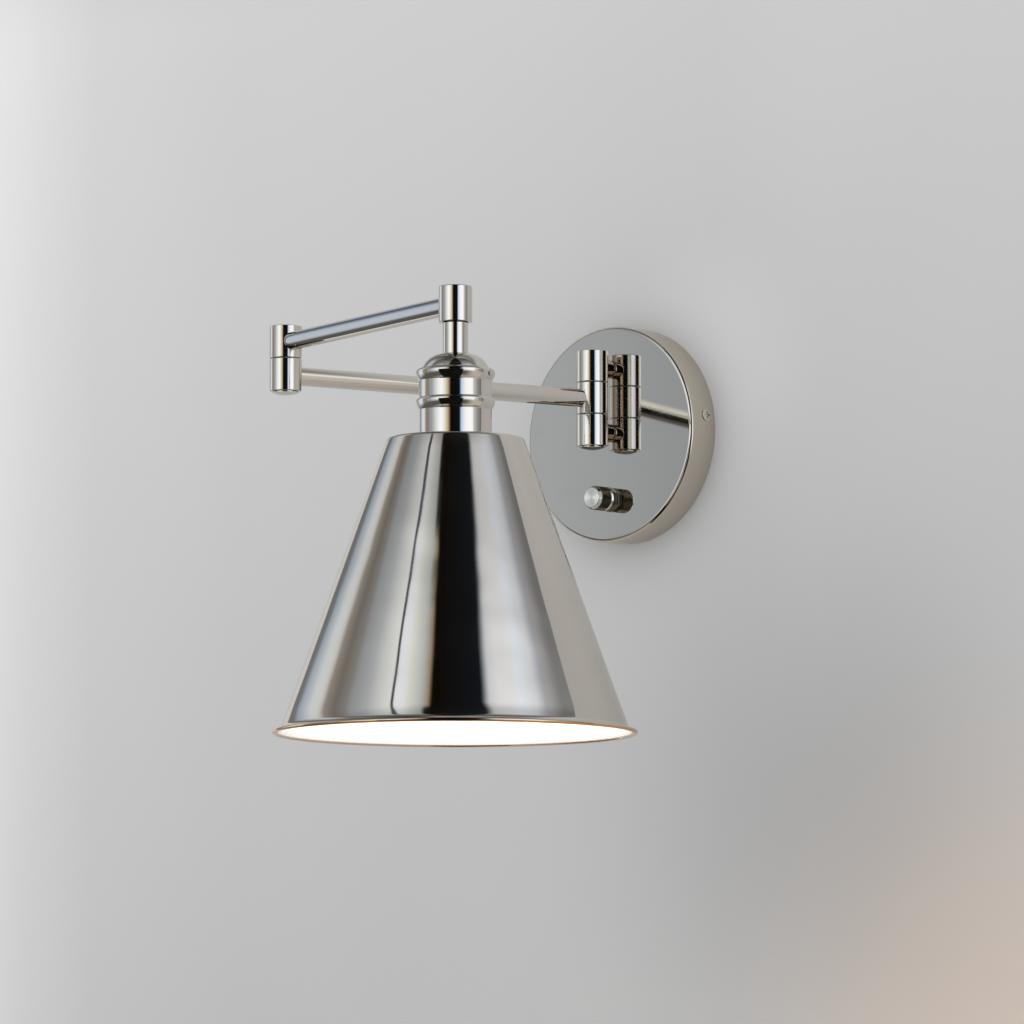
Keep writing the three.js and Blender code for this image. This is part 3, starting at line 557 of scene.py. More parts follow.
def prism(name, corners, low, high, material):
    """A straight prism along +Z over a flat outline of (x, y) corners."""
    shape = bmesh.new()
    floor = [shape.verts.new((x, y, low)) for x, y in corners]
    roof = [shape.verts.new((x, y, high)) for x, y in corners]
    shape.faces.new(floor)
    shape.faces.new(roof)
    for k in range(len(corners)):
        after = (k + 1) % len(corners)
        shape.faces.new([floor[k], floor[after], roof[after], roof[k]])
    return to_object(shape, name, material)


def cut_away(piece, *cutters):
    """Cuts the cutters out of a piece and removes them."""
    for cutter in cutters:
        modifier = piece.modifiers.new("cut", "BOOLEAN")
        modifier.operation = "DIFFERENCE"
        modifier.solver = "EXACT"
        modifier.object = cutter
    settle(piece)
    for cutter in cutters:
        bpy.data.objects.remove(cutter)
    return piece


def settle(piece):
    """Turns a piece with modifiers into a plain mesh."""
    graph = bpy.context.evaluated_depsgraph_get()
    mesh = bpy.data.meshes.new_from_object(piece.evaluated_get(graph))
    piece.modifiers.clear()
    piece.data = mesh
    smooth(mesh)
    return piece


def move_to(piece, origin, axis):
    """Puts a piece that was made round +Z at the world's origin on another axis."""
    piece.data.transform(Matrix.Translation(origin) @ axis.to_track_quat("Z", "Y").to_matrix().to_4x4())
    return piece


def joined(name, first, *others):
    """One piece from several, each of which keeps its material."""
    with bpy.context.temp_override(active_object=first, selected_editable_objects=[first, *others]):
        bpy.ops.object.join()
    first.name = name
    first.data.name = name
    return first


def seat(piece, body, slot, *nodes):
    """Seats a finished piece: it rides on its body and stands for its solids. The slot is not used."""
    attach(piece, body)
    if nodes:
        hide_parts(*nodes)
    return piece


def refinish(material, *nodes):
    """Gives solids whose shape is right already a better finish."""
    for node in nodes:
        for slot in frame["nodes"][node].material_slots:
            slot.material = material


# ---- Geometry Nodes ------------------------------------------------------------------------------
def group_inputs(tree, sockets):
    """Adds a tree's geometry sockets and its named inputs."""
    tree.interface.new_socket("Geometry", in_out="OUTPUT", socket_type="NodeSocketGeometry")
    tree.interface.new_socket("Geometry", in_out="INPUT", socket_type="NodeSocketGeometry")
    for name, kind in sockets:
        tree.interface.new_socket(name, in_out="INPUT", socket_type=kind)


def copies_tree():
    """Copies of the incoming mesh turned round +Z."""
    tree = bpy.data.node_groups.new("copies_round_axis", "GeometryNodeTree")
    group_inputs(tree, [("Count", "NodeSocketInt"), ("Start", "NodeSocketFloat"),
                        ("Material", "NodeSocketMaterial")])
    nodes = Nodes(tree)
    source = tree.nodes.new("NodeGroupInput")
    shape, count, start, material = (Socket(nodes, source.outputs[k]) for k in range(4))
    points = nodes.node("GeometryNodePoints", None, {"Count": count})
    index = nodes.node("GeometryNodeInputIndex")
    turn = index * (2 * math.pi) / count + start
    spin = nodes.node("ShaderNodeCombineXYZ", None, {"Z": turn})
    rotation = nodes.node("FunctionNodeEulerToRotation", None, {0: spin})
    copies = nodes.node("GeometryNodeInstanceOnPoints", None,
                        {"Points": points, "Instance": shape, "Rotation": rotation})
    finish_tree(nodes, copies, material)
    return tree


def thread_tree():
    """A screw thread: a ridge that climbs round +Z."""
    tree = bpy.data.node_groups.new("screw_thread", "GeometryNodeTree")
    group_inputs(tree, [("Radius", "NodeSocketFloat"), ("Pitch", "NodeSocketFloat"),
                        ("Length", "NodeSocketFloat"), ("Ridge", "NodeSocketFloat"),
                        ("Material", "NodeSocketMaterial")])
    nodes = Nodes(tree)
    source = tree.nodes.new("NodeGroupInput")
    _, radius, pitch, run, ridge, material = (Socket(nodes, source.outputs[k]) for k in range(6))
    path = nodes.node("GeometryNodeCurveSpiral", None, {
        "Resolution": 48, "Rotations": run / pitch, "Start Radius": radius,
        "End Radius": radius, "Height": run})
    section = nodes.node("GeometryNodeCurvePrimitiveCircle", None, {"Resolution": 8, "Radius": ridge})
    swept = nodes.node("GeometryNodeCurveToMesh", None,
                       {"Curve": path, "Profile Curve": section, "Fill Caps": True})
    finish_tree(nodes, swept, material)
    return tree


def finish_tree(nodes, geometry, material):
    real = nodes.node("GeometryNodeRealizeInstances", None, {0: geometry})
    made = nodes.node("GeometryNodeSetMaterial", None, {"Geometry": real, "Material": material})
    sink = nodes.tree.nodes.new("NodeGroupOutput")
    nodes.feed(sink.inputs[0], made)


TREES = {}


def grown(piece, maker, **inputs):
    """Runs a tree on a piece and keeps the plain mesh that it makes."""
    if maker not in TREES:
        TREES[maker] = maker()
    tree = TREES[maker]
    modifier = piece.modifiers.new("grow", "NODES")
    modifier.node_group = tree
    for item in tree.interface.items_tree:
        if item.in_out == "INPUT" and item.name in inputs:
            modifier[item.identifier] = inputs[item.name]
    return settle(piece)


def empty_piece(name):
    piece = bpy.data.objects.new(name, bpy.data.meshes.new(name))
    bpy.context.scene.collection.objects.link(piece)
    return piece


# ---- Wall plate -----------------------------------------------------------------------------------
PLATE_RADIUS = half_width("wall_plate")
PLATE_FRONT = depths("wall_plate")[1]


class SCONCE_OT_wall_plate(bpy.types.Operator):
    """Make the round wall plate"""

    bl_idname = "sconce.wall_plate"
    bl_label = "Wall Plate"

    def execute(self, context):
        wall, edge = form().plate_wall, form().plate_edge
        inner = PLATE_RADIUS - wall
        outline = rounded([
            (0, PLATE_FRONT), (PLATE_RADIUS, PLATE_FRONT, edge), (PLATE_RADIUS, 0, 0.2 * MM),
            (inner, 0, 0.2 * MM), (inner, PLATE_FRONT - wall, edge - wall), (0, PLATE_FRONT - wall)])
        # The plate's side, its outer 0.8 mm, is painted darker and warmer: a painted reflection of the
        # shaded wall next to it.
        polish = nickel_finish("plate_nickel", along=1, ripple=0.004 * MM, ripple_size=0.05,
                               painted_zone=lambda made: made.away((0, 0, 0), 1).ramp(
                                   PLATE_RADIUS - 0.8 * MM, PLATE_RADIUS),
                               painted_colour=finish().plate_side_painted_reflection)
        plate = turned("wall_plate_spun", outline, Vector(), OUT, polish, 256)
        seat(plate, "wall_bracket", "polished_nickel", "wall_plate")
        return {"FINISHED"}


def screw_head(name, head_radius, head_height, shank_radius, shank_length, material):
    """A pan head screw on +Z, its head standing on z = 0, with a cross recess."""
    outline = rounded([
        (0, -shank_length), (shank_radius, -shank_length, 0.3 * MM), (shank_radius, 0),
        (head_radius, 0, 0.15 * MM), (head_radius, head_height * 0.45, 0.9 * MM),
        (head_radius * 0.62, head_height, 1.2 * MM), (0, head_height)])
    screw = turned(name, outline, Vector(), UP, material, 64)
    floor, top = head_height * 0.35, head_height + 0.5 * MM
    span, width = head_radius * 0.56, head_radius * 0.13
    bars = []
    for turn in (0, 1):
        size = (span, width) if turn else (width, span)
        corners = [(-size[0], -size[1]), (size[0], -size[1]), (size[0], size[1]), (-size[0], size[1])]
        bars.append(prism("recess", corners, floor, top, material))
    return cut_away(screw, *bars)


class SCONCE_OT_fasteners(bpy.types.Operator):
    """Make the side screws and finish the strap, nuts and washers behind the plate"""

    bl_idname = "sconce.fasteners"
    bl_label = "Fasteners"

    def execute(self, context):
        low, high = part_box("side_screw_right")
        middle = (low + high) / 2
        turn = math.atan2(middle.z, middle.x)
        head_radius = (high.y - low.y) / 2 - 0.55 * MM
        head_height, shank_length = 0.9 * MM, 8 * MM
        nickel = finish_of("nickel")
        screw = screw_head("side_screws", head_radius, head_height, 2 * MM, shank_length, nickel)
        screw.data.transform(Matrix.Translation((PLATE_RADIUS, 0, -middle.y))
                             @ Matrix.Rotation(math.pi / 2, 4, "Y"))
        grown(screw, copies_tree, Count=2, Start=turn, Material=nickel)
        screw.data.transform(Matrix.Rotation(math.pi / 2, 4, "X"))
        seat(screw, "wall_bracket", "polished_nickel", "side_screw_right", "side_screw_left")
        self.nuts_and_washers()
        refinish(finish_of("zinc"), "mounting_strap", "post_nut_upper", "post_nut_lower",
                 "dimmer_nut", "shoulder_pin", "elbow_pin", "stem_nut", "cup_nut")
        refinish(finish_of("ground"), "ground_screw")
        return {"FINISHED"}

    def nuts_and_washers(self):
        for level in ("upper", "lower"):
            node = f"post_washer_{level}"
            low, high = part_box(node)
            near, far = depths(node)
            bore, outer = 4.2 * MM, (high.x - low.x) / 2
            outline = rounded([
                (bore, near), (outer, near, 0.15 * MM), (outer, far, 0.15 * MM), (bore, far)])
            origin = Vector((0, 0, (low.z + high.z) / 2))
            washer = turned(f"{node}_steel", outline, origin, OUT, finish_of("zinc"), 64)
            seat(washer, "wall_bracket", "zinc_steel", node)


# ---- Dimmer and knob --------------------------------------------------------------------------------
class SCONCE_OT_dimmer(bpy.types.Operator):
    """Make the rotary dimmer behind the plate"""

    bl_idname = "sconce.dimmer"
    bl_label = "Dimmer"

    def execute(self, context):
        low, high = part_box("dimmer_body")
        near, far = depths("dimmer_body")
        can, bush = (high.x - low.x) / 2, 4.5 * MM
        can_front = PLATE_FRONT - form().plate_wall - 0.25 * MM
        outline = rounded([
            (0, near), (can, near, 0.8 * MM), (can, can_front, 0.5 * MM), (bush, can_front),
            (bush, far, 0.3 * MM), (0, far)])
        origin = Vector((KNOB.x, 0, KNOB.z))
        body = turned("dimmer_can", outline, origin, OUT, finish_of("phenolic"), 96)
        seat(body, "wall_bracket", "phenolic", "dimmer_body")
        refinish(finish_of("brass"), "dimmer_lug_left", "dimmer_lug_right", "dimmer_shaft")
        refinish(finish_of("zinc"), "knob_screw")
        return {"FINISHED"}


class SCONCE_OT_knob(bpy.types.Operator):
    """Make the knurled knob with its spun face"""

    bl_idname = "sconce.knob"
    bl_label = "Knob"

    def execute(self, context):
        near, far = depths("dimmer_knob")
        radius = half_width("dimmer_knob")
        run = far - near
        collar, groove, chamfer = 1.9 * MM, 0.7 * MM, 1.7 * MM
        face = 5.65 * MM
        root = radius - form().knurl_height
        grip_from, grip_to = collar + groove, run - chamfer
        origin = Vector((KNOB.x, -near, KNOB.z))
        # Painted shade: the nickel round the knob's outer edge, its last 0.15 mm of radius, is painted near
        # black.
        polish = nickel_finish(
            "knob_nickel", origin, 1, painted_colour=finish().knob_edge_painted_shade,
            painted_zone=lambda made: made.away(origin, 1).ramp(radius - 0.15 * MM, radius - 0.05 * MM))
        core = turned("knob_core", rounded([
            (0, 0), (radius, 0, 0.2 * MM), (radius, 0.7 * MM, 0.1 * MM),
            (radius - 0.65 * MM, collar, 0.1 * MM), (root - 0.6 * MM, collar), (root - 0.6 * MM, grip_from),
            (root, grip_from), (root, grip_to, 0.1 * MM),
            (face, run - 0.12 * MM, 0.3 * MM), (0, run - 0.12 * MM)]),
            origin, OUT, polish, 128)
        end = turned("knob_face", rounded([
            (0, run - 0.2 * MM), (face - 0.35 * MM, run - 0.2 * MM), (face - 0.35 * MM, run, 0.08 * MM),
            (0, run)]), origin, OUT, spun_face_finish("spun_face", origin), 128)
        knob = joined("knob_turned", core, end, self.knurl(root, radius, grip_from, grip_to, origin))
        seat(knob, "knob", "polished_nickel", "dimmer_knob")
        return {"FINISHED"}

    def knurl(self, root, tip, low, high, origin):
        grip = knurl_finish("knurled_grip")
        half = math.pi * root / form().knurls
        foot_radius = root - 0.15 * MM
        corners = [(foot_radius, -half), (root, -half), (tip, -half * 0.12), (tip, half * 0.12),
                   (root, half), (foot_radius, half)]
        ridge = prism("knurl", corners, low, high, grip)
        grown(ridge, copies_tree, Count=form().knurls, Start=0.0, Material=grip)
        return move_to(ridge, origin, OUT)


# ---- Knuckles, posts and caps -------------------------------------------------------------------------
class SCONCE_OT_knuckles(bpy.types.Operator):
    """Make the turned barrels of the shoulder and the elbow, with their caps"""

    bl_idname = "sconce.knuckles"
    bl_label = "Knuckles"

    def execute(self, context):
        barrels = [
            ("shoulder_upper", "wall_bracket", SHOULDER), ("shoulder_middle", "lower_arm", SHOULDER),
            ("shoulder_lower", "wall_bracket", SHOULDER), ("elbow_lower", "lower_arm", ELBOW),
            ("elbow_upper", "upper_arm", ELBOW)]
        for node, body, axis in barrels:
            low, high = heights(node)
            radius = half_width(node)
            outline = rounded([(0, low), (radius, low, form().edge), (radius, high, form().edge), (0, high)])
            polish = nickel_finish(f"{node}_nickel", foot(axis))
            piece = turned(f"{node}_barrel", outline, foot(axis), UP, polish)
            seat(piece, body, "polished_nickel", node)
        self.cap("shoulder_cap", "wall_bracket", SHOULDER)
        self.cap("elbow_cap", "lower_arm", ELBOW)
        refinish(finish_of("nylon"), "shoulder_washer_upper", "shoulder_washer_lower",
                 "elbow_washer", "head_sleeve")
        return {"FINISHED"}

    def cap(self, node, body, axis):
        low, high = heights(node)
        radius = half_width(node)
        rim = low + form().cap_rise
        plug = 4.9 * MM
        outline = [*shallow_dome(radius, form().cap_rise, rim), *rounded([
            (radius, rim), (radius, rim + 0.4 * MM, 0.1 * MM), (plug, rim + 0.4 * MM), (plug, high),
            (0, high)])[1:]]
        piece = turned(f"{node}_dome", outline, foot(axis), UP, nickel_finish(f"{node}_nickel", foot(axis)))
        seat(piece, body, "polished_nickel", node)


class SCONCE_OT_posts(bpy.types.Operator):
    """Make the two posts that carry the shoulder"""

    bl_idname = "sconce.posts"
    bl_label = "Posts"

    def execute(self, context):
        for level in ("upper", "lower"):
            node = f"post_{level}"
            low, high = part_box(node)
            near = depths(node)[0]
            radius, neck = (high.x - low.x) / 2, 3.9 * MM
            collar = PLATE_FRONT + 0.05 * MM
            barrel_face = -SHOULDER.y - half_width("shoulder_upper")
            inside = barrel_face + 1.9 * MM
            outline = [*rounded([(0, near), (neck, near, 0.4 * MM), (neck, collar), (radius, collar)])[:-1],
                       *arc_points((neck, collar + radius - neck), radius - neck, -90, 0, 8),
                       Vector((radius, inside)), Vector((0, inside))]
            origin = Vector((0, 0, (low.z + high.z) / 2))
            # Painted shade: nearly all of each post is painted darker and browner, for the shade between
            # plate and shoulder.
            polish = nickel_finish(f"{node}_nickel", origin, 1, painted_colour=finish().post_painted_shade,
                                   painted_zone=lambda made: made.away(origin, 1).ramp(0, 1 * MM))
            post = turned(f"{node}_turned", outline, origin, OUT, polish, 96)
            seat(post, "wall_bracket", "polished_nickel", node)
        return {"FINISHED"}


# ---- Arms ---------------------------------------------------------------------------------------------
class SCONCE_OT_arms(bpy.types.Operator):
    """Make the two arm tubes"""

    bl_idname = "sconce.arms"
    bl_label = "Arm Tubes"

    def execute(self, context):
        self.tube("lower_arm_tube", "lower_arm", SHOULDER, ELBOW, finish().nickel)
        self.tube("upper_arm_tube", "upper_arm", ELBOW, HEAD, finish().arm_top_painted_reflection)
        return {"FINISHED"}

    def tube(self, node, body, start, end, top_painted_colour):
        low, high = heights(node)
        radius = (high - low) / 2
        inner = radius - form().tube_wall
        level = Vector((0, 0, (low + high) / 2))
        start, end = foot(start) + level, foot(end) + level
        inset = half_width("elbow_lower") - form().socket_depth
        run = (end - start).length
        outline = rounded([
            (inner, inset), (radius, inset, 0.2 * MM), (radius, run - inset, 0.2 * MM),
            (inner, run - inset)])
        # Painted reflection: from just below its middle up, a tube gets another colour; the upper arm's is
        # cooler and darker, the lower arm's is plain nickel.
        polish = nickel_finish(
            f"{node}_nickel", ripple=0.0015 * MM, ripple_size=0.06, painted_colour=top_painted_colour,
            painted_zone=lambda made: made.split(made.place, 2).ramp(level.z - radius * 0.7, level.z - radius * 0.2))
        piece = turned(f"{node}_drawn", outline, start, (end - start).normalized(), polish, 96)
        seat(piece, body, "polished_nickel", node)


# ---- Head, stem and cup ---------------------------------------------------------------------------------
class SCONCE_OT_head(bpy.types.Operator):
    """Make the head barrel, its cap and the stem that turns in it"""

    bl_idname = "sconce.head"
    bl_label = "Head"

    def execute(self, context):
        origin = foot(HEAD)
        low, high = heights("head_barrel")
        radius = half_width("head_barrel")
        bore = half_width("head_cap") + 0.25 * MM
        floor = heights("head_cap")[0] - 0.1 * MM
        barrel = turned("head_barrel_turned", rounded([
            (0, low), (radius, low, form().edge), (radius, high, 1.5 * MM), (bore, high, 0.05 * MM),
            (bore, floor), (0, floor)]), origin, UP, nickel_finish("head_nickel", origin))
        seat(barrel, "upper_arm", "polished_nickel", "head_barrel")
        cap_low, cap_high = heights("head_cap")
        cap_radius = half_width("head_cap")
        cap = turned("head_cap_disc", rounded([
            (0, cap_low), (cap_radius, cap_low), (cap_radius, cap_high, 0.25 * MM), (0, cap_high)]),
            origin, UP, nickel_finish("head_cap_nickel", origin))
        seat(cap, "upper_arm", "polished_nickel", "head_cap")
        stem_low, stem_high = heights("stem")
        shoulder = low - 0.25 * MM
        foot_height = heights("cup_dome")[1] + 0.05 * MM
        body, tail, neck = half_width("stem"), 4.9 * MM, 4.6 * MM
        stem = turned("stem_turned", rounded([
            (0, stem_low), (tail, stem_low), (tail, foot_height), (body, foot_height, 0.15 * MM),
            (body, shoulder, 0.3 * MM), (neck, shoulder), (neck, stem_high), (0, stem_high)]),
            origin, UP, nickel_finish("stem_nickel", origin))
        seat(stem, "shade_head", "polished_nickel", "stem")
        return {"FINISHED"}


class SCONCE_OT_cup(bpy.types.Operator):
    """Make the socket cup with its two beads, its dome and its set screw"""

    bl_idname = "sconce.cup"
    bl_label = "Socket Cup"

    def execute(self, context):
        origin = foot(HEAD)
        polish = nickel_finish("cup_nickel", origin, ripple=0.002 * MM, ripple_size=0.02)
        seat(self.dome(origin, polish), "shade_head", "polished_nickel", "cup_dome")
        seat(self.cup(origin, polish), "shade_head", "polished_nickel", "socket_cup")
        refinish(finish_of("zinc"), "cup_screw")
        return {"FINISHED"}

    def dome(self, origin, polish):
        low, top = heights("cup_dome")
        radius, swell, drop, wall = half_width("cup_dome"), 11.5 * MM, 7.6 * MM, 1.2 * MM
        reach = math.sqrt(swell ** 2 - (swell - drop) ** 2)
        centre = (radius - reach, top - swell)
        end = math.degrees(math.acos(reach / swell))
        hole, skirt = 5.1 * MM, 17.2 * MM
        outline = [
            Vector((hole, top)), *arc_points(centre, swell, 90, end, 22),
            Vector((skirt, top - drop)), Vector((skirt, low)), Vector((skirt - wall, low)),
            Vector((skirt - wall, top - drop)), *arc_points(centre, swell - wall, end + 8, 90, 10),
            Vector((hole, top - wall))]
        return turned("cup_dome_spun", outline, origin, UP, polish, 160)

    def cup(self, origin, polish):
        base, top = heights("socket_cup")
        band, bore = 18.8 * MM, 17.5 * MM
        bead_height, upper_band = 6.8 * MM, 8.3 * MM
        bulge = half_width("socket_cup") - band
        second = top - bead_height - upper_band
        outline = [Vector((bore, top)), *self.bead(band, bulge, bead_height, top),
                   *self.bead(band, bulge, bead_height, second),
                   Vector((band, base + 0.9 * MM)), *arc_points((band + 0.9 * MM, base + 0.9 * MM),
                                                                0.9 * MM, 180, 240, 5),
                   Vector((band + 0.45 * MM, base)), Vector((bore, base))]
        return turned("socket_cup_spun", outline, origin, UP, polish, 160)

    def bead(self, band, bulge, height, top):
        """A bead, from its top down: a tight round, a long face that rolls under, and a cove."""
        nose, face, cove = 2 * MM, 9.5 * MM, 1 * MM
        lean, roll = 8, 33.8
        peak = Vector((band + bulge - nose, top - nose))
        start = math.degrees(math.acos((band - peak.x) / nose))
        deep = outwards(lean) * (face - nose)
        return [*arc_points(peak, nose, start, -lean, 14),
                *arc_points(peak - deep, face, -lean, -roll, 12)[1:],
                *arc_points((band + cove, top - height), cove, 180 - roll, 180, 8)]


# ---- Shade --------------------------------------------------------------------------------------------
SHADE_WALL = 1 * MM
SHADE_HOLE = 16.85 * MM
CONE_TOP = 34.9 * MM
CONE_MOUTH = 88.3 * MM
CONE_DROP = 147.4 * MM
SHOULDER_ROUND = 1.8 * MM
FLARE_RADIUS = 6.3 * MM  # of the solid's flare, which sets where the edge is
FLARE_BEND = 4.3 * MM
FLARE_END = 12  # degrees below level
ROLL_RADIUS = 1.05 * MM


def shade_line():
    """The middle of the shade's wall, from the hole at its top to the end of its flare. The
    flare bends tighter than the solid's and runs straight from there to the same edge."""
    top = heights("shade")[1] - SHADE_WALL / 2
    slope = math.degrees(math.atan2(CONE_DROP, CONE_MOUTH - CONE_TOP))
    shoulder = CONE_TOP - SHOULDER_ROUND * math.tan(math.radians(slope / 2))
    # The cone and the end of the flare, drawn on straight, meet in a corner that the bend rounds.
    reach = math.tan(math.radians((slope - FLARE_END) / 2))
    corner = Vector((CONE_MOUTH, top - CONE_DROP)) + outwards(slope) * FLARE_RADIUS * reach
    edge = corner + outwards(FLARE_END) * FLARE_RADIUS * reach
    mouth = corner - outwards(slope) * FLARE_BEND * reach
    start = math.radians(270 - slope)
    bend = (mouth.x - FLARE_BEND * math.cos(start), mouth.y - FLARE_BEND * math.sin(start))
    cone_start = arc_points((shoulder, top - SHOULDER_ROUND), SHOULDER_ROUND, 90, 90 - slope, 8)
    flare = [*arc_points(bend, FLARE_BEND, 270 - slope, 270 - FLARE_END, 12), edge]
    cone = [cone_start[-1].lerp(flare[0], k / 24) for k in range(1, 24)]
    return [Vector((SHADE_HOLE, top)), *cone_start, *cone, *flare]


def beside(line, offset):
    """A line moved sideways, to its outside where offset is positive."""
    moved = []
    for i, point in enumerate(line):
        before, after = line[max(i - 1, 0)], line[min(i + 1, len(line) - 1)]
        along = (after - before).normalized()
        moved.append(point + Vector((-along.y, along.x)) * offset)
    return moved


class SCONCE_OT_shade(bpy.types.Operator):
    """Make the spun cone shade, its enamel and the ring that clamps it"""

    bl_idname = "sconce.shade"
    bl_label = "Shade"

    def execute(self, context):
        origin = foot(HEAD)
        line = shade_line()
        half = SHADE_WALL / 2
        lining = -half + form().enamel
        edge = line[-1]
        back = 180 - math.degrees(math.asin(half / ROLL_RADIUS))
        roll = arc_points(edge, ROLL_RADIUS, -FLARE_END + back, -FLARE_END - back, 20)
        outside = beside(line, half)[:-1]
        inside = beside(line, lining)[:-1][::-1]
        # Under the shade's rolled edge the nickel is painted orange-brown: a painted reflection of warm
        # light, not the metal's own colour.
        polish = nickel_finish(
            "shade_nickel", origin, ripple=finish().ripple, painted_colour=finish().lip_painted_warm_reflection,
            painted_zone=lambda made: made.away(origin, 2).ramp(edge.x - 0.6 * MM, edge.x - 0.2 * MM)
            * (1.0 - made.split(made.place, 2).ramp(edge.y - 0.2 * MM, edge.y + 0.2 * MM)))
        metal = turned("shade_spun", [*outside, *roll, *inside], origin, UP, polish, 256)
        seat(metal, "shade_head", "polished_nickel", "shade")
        seat(self.enamel(line[:-1], lining, origin), "shade_head", "white_enamel", "shade")
        self.ring(origin)
        return {"FINISHED"}

    def enamel(self, line, lining, origin):
        outer, inner = beside(line, lining), beside(line, -SHADE_WALL / 2)[::-1]
        low = inner[0].y
        coat = enamel_finish("shade_enamel", low + 0.05 * MM, low + 0.5 * MM)
        return turned("shade_lining", [*outer, *inner], origin, UP, coat, 256)

    def ring(self, origin):
        low, high = heights("shade_ring")
        flange, hub, bore = half_width("shade_ring"), 18.6 * MM, SHADE_HOLE
        black = finish_of("phenolic")
        body = turned("ring_body", rounded([
            (bore, high), (flange, high, 0.4 * MM), (flange, high - 2 * MM, 0.5 * MM),
            (hub, high - 2 * MM), (hub, low, 0.5 * MM), (bore, low, 0.3 * MM)]), origin, UP, black, 128)
        rib = prism("rib", [(hub - 0.2 * MM, -0.5 * MM), (hub + 0.4 * MM, -0.35 * MM),
                            (hub + 0.4 * MM, 0.35 * MM), (hub - 0.2 * MM, 0.5 * MM)],
                    low + 0.6 * MM, high - 1.9 * MM, black)
        grown(rib, copies_tree, Count=form().ring_ribs, Start=0.0, Material=black)
        ring = joined("shade_ring_moulded", body, move_to(rib, origin, UP))
        seat(ring, "shade_head", "phenolic", "shade_ring")


# ---- Lamp socket and bulb ---------------------------------------------------------------------------------
class SCONCE_OT_socket(bpy.types.Operator):
    """Make the moulded lamp socket with the thread that takes the shade ring"""

    bl_idname = "sconce.socket"
    bl_label = "Lamp Socket"

    def execute(self, context):
        origin = foot(HEAD)
        mouth, top = heights("lamp_socket")
        radius, boss, cavity = half_width("lamp_socket"), 8 * MM, 14.15 * MM
        shoulder, floor = top - 6.5 * MM, top - 15.5 * MM
        black = finish_of("phenolic")
        ridge = 0.35 * MM
        core = radius - ridge
        body = turned("socket_body", rounded([
            (0, top), (boss, top, 0.4 * MM), (boss, shoulder, 0.4 * MM), (core, shoulder, 1.5 * MM),
            (core, mouth, 0.5 * MM), (cavity, mouth, 0.4 * MM), (cavity, floor), (0, floor)]),
            origin, UP, black, 128)
        thread = empty_piece("socket_thread")
        run = 14 * MM
        grown(thread, thread_tree, Radius=core, Pitch=form().thread_pitch, Length=run,
              Ridge=ridge, Material=black)
        move_to(thread, origin + UP * (mouth + 1 * MM), UP)
        socket = joined("lamp_socket_moulded", body, thread)
        seat(socket, "shade_head", "phenolic", "lamp_socket")
        refinish(finish_of("brass"), "socket_shell", "socket_contact", "bulb_base")
        refinish(finish_of("zinc"), "bulb_tip")
        return {"FINISHED"}


class SCONCE_OT_bulb(bpy.types.Operator):
    """Make the frosted bulb"""

    bl_idname = "sconce.bulb"
    bl_label = "Bulb"

    def execute(self, context):
        low, top = heights("bulb_glass")
        big, neck, wall = half_width("bulb_glass"), 11.5 * MM, 1 * MM
        centre, swell_top = low + big, top - 6 * MM

        def swell(shrink, steps):
            return [Vector((neck - shrink + (big - neck) * t * t * (3 - 2 * t),
                            swell_top + (centre - swell_top) * t))
                    for t in (k / steps for k in range(steps))]

        outer = [Vector((neck, top)), *swell(0, 22), *arc_points((0, centre), big, 0, -90, 20)]
        outer[-1].x = 0
        inner = [*arc_points((0, centre), big - wall, -90, 0, 12), *swell(wall, 12)[::-1],
                 Vector((neck - wall, top))]
        inner[0].x = 0
        glass = glow_finish("bulb_frosted", top, low)
        bulb = turned("bulb_frosted_glass", [*outer, *inner], foot(HEAD), UP, glass, 96)
        seat(bulb, "shade_head", "frosted_glass", "bulb_glass")
        return {"FINISHED"}


# ---- Stage --------------------------------------------------------------------------------------------
# What the polish mirrors, tuned by direction for the main view: degrees round from straight out
# of the wall, towards +X, and the colour there. The room lays a dark flag, a seam and the
# falloff with height over it.
PANELS = [
    (-180, (0.30, 0.29, 0.28)), (-109, (0.12, 0.125, 0.135)), (-104, (0.136, 0.155, 0.18)),
    (-99, (0.24, 0.29, 0.36)), (-90, (0.37, 0.41, 0.475)), (-83, (0.49, 0.54, 0.60)),
    (-76, (0.53, 0.55, 0.58)), (-72, (0.48, 0.49, 0.50)), (-68, (0.24, 0.225, 0.21)),
    (-58, (0.155, 0.14, 0.13)), (-48, (0.20, 0.20, 0.20)), (-43, (0.265, 0.283, 0.315)),
    (-37, (0.30, 0.33, 0.36)), (-30, (0.355, 0.385, 0.43)), (-22, (0.50, 0.535, 0.56)),
    (-14, (0.61, 0.65, 0.67)), (-6, (0.69, 0.745, 0.84)), (0, (0.68, 0.73, 0.78)),
    (7, (0.57, 0.60, 0.58)), (15, (0.44, 0.40, 0.30)), (22, (0.22, 0.15, 0.08)),
    (28, (0.15, 0.08, 0.04)), (34, (0.25, 0.22, 0.20)), (50, (0.26, 0.32, 0.42)),
    (57, (0.27, 0.42, 0.68)), (63, (0.43, 0.52, 0.68)), (70, (0.60, 0.64, 0.70)),
    (77, (0.70, 0.73, 0.80)), (93, (0.72, 0.76, 0.82)), (100, (0.69, 0.715, 0.705)),
    (108, (0.625, 0.62, 0.605)), (116, (0.35, 0.365, 0.39))]
# The wall's painted light and shade, tuned for the main view: metres along the wall, and how light it is
# there.
WALL_ENDS = (-0.80, 0.45)
WALL_LIGHTEST = 1.4
WALL_TONES = [(-0.80, 1.30), (-0.52, 1.36), (-0.47, 1.20), (-0.42, 1.08), (-0.30, 1.02),
              (-0.05, 1.00), (0.06, 0.975), (0.13, 1.00), (0.30, 0.99), (0.45, 0.88)]


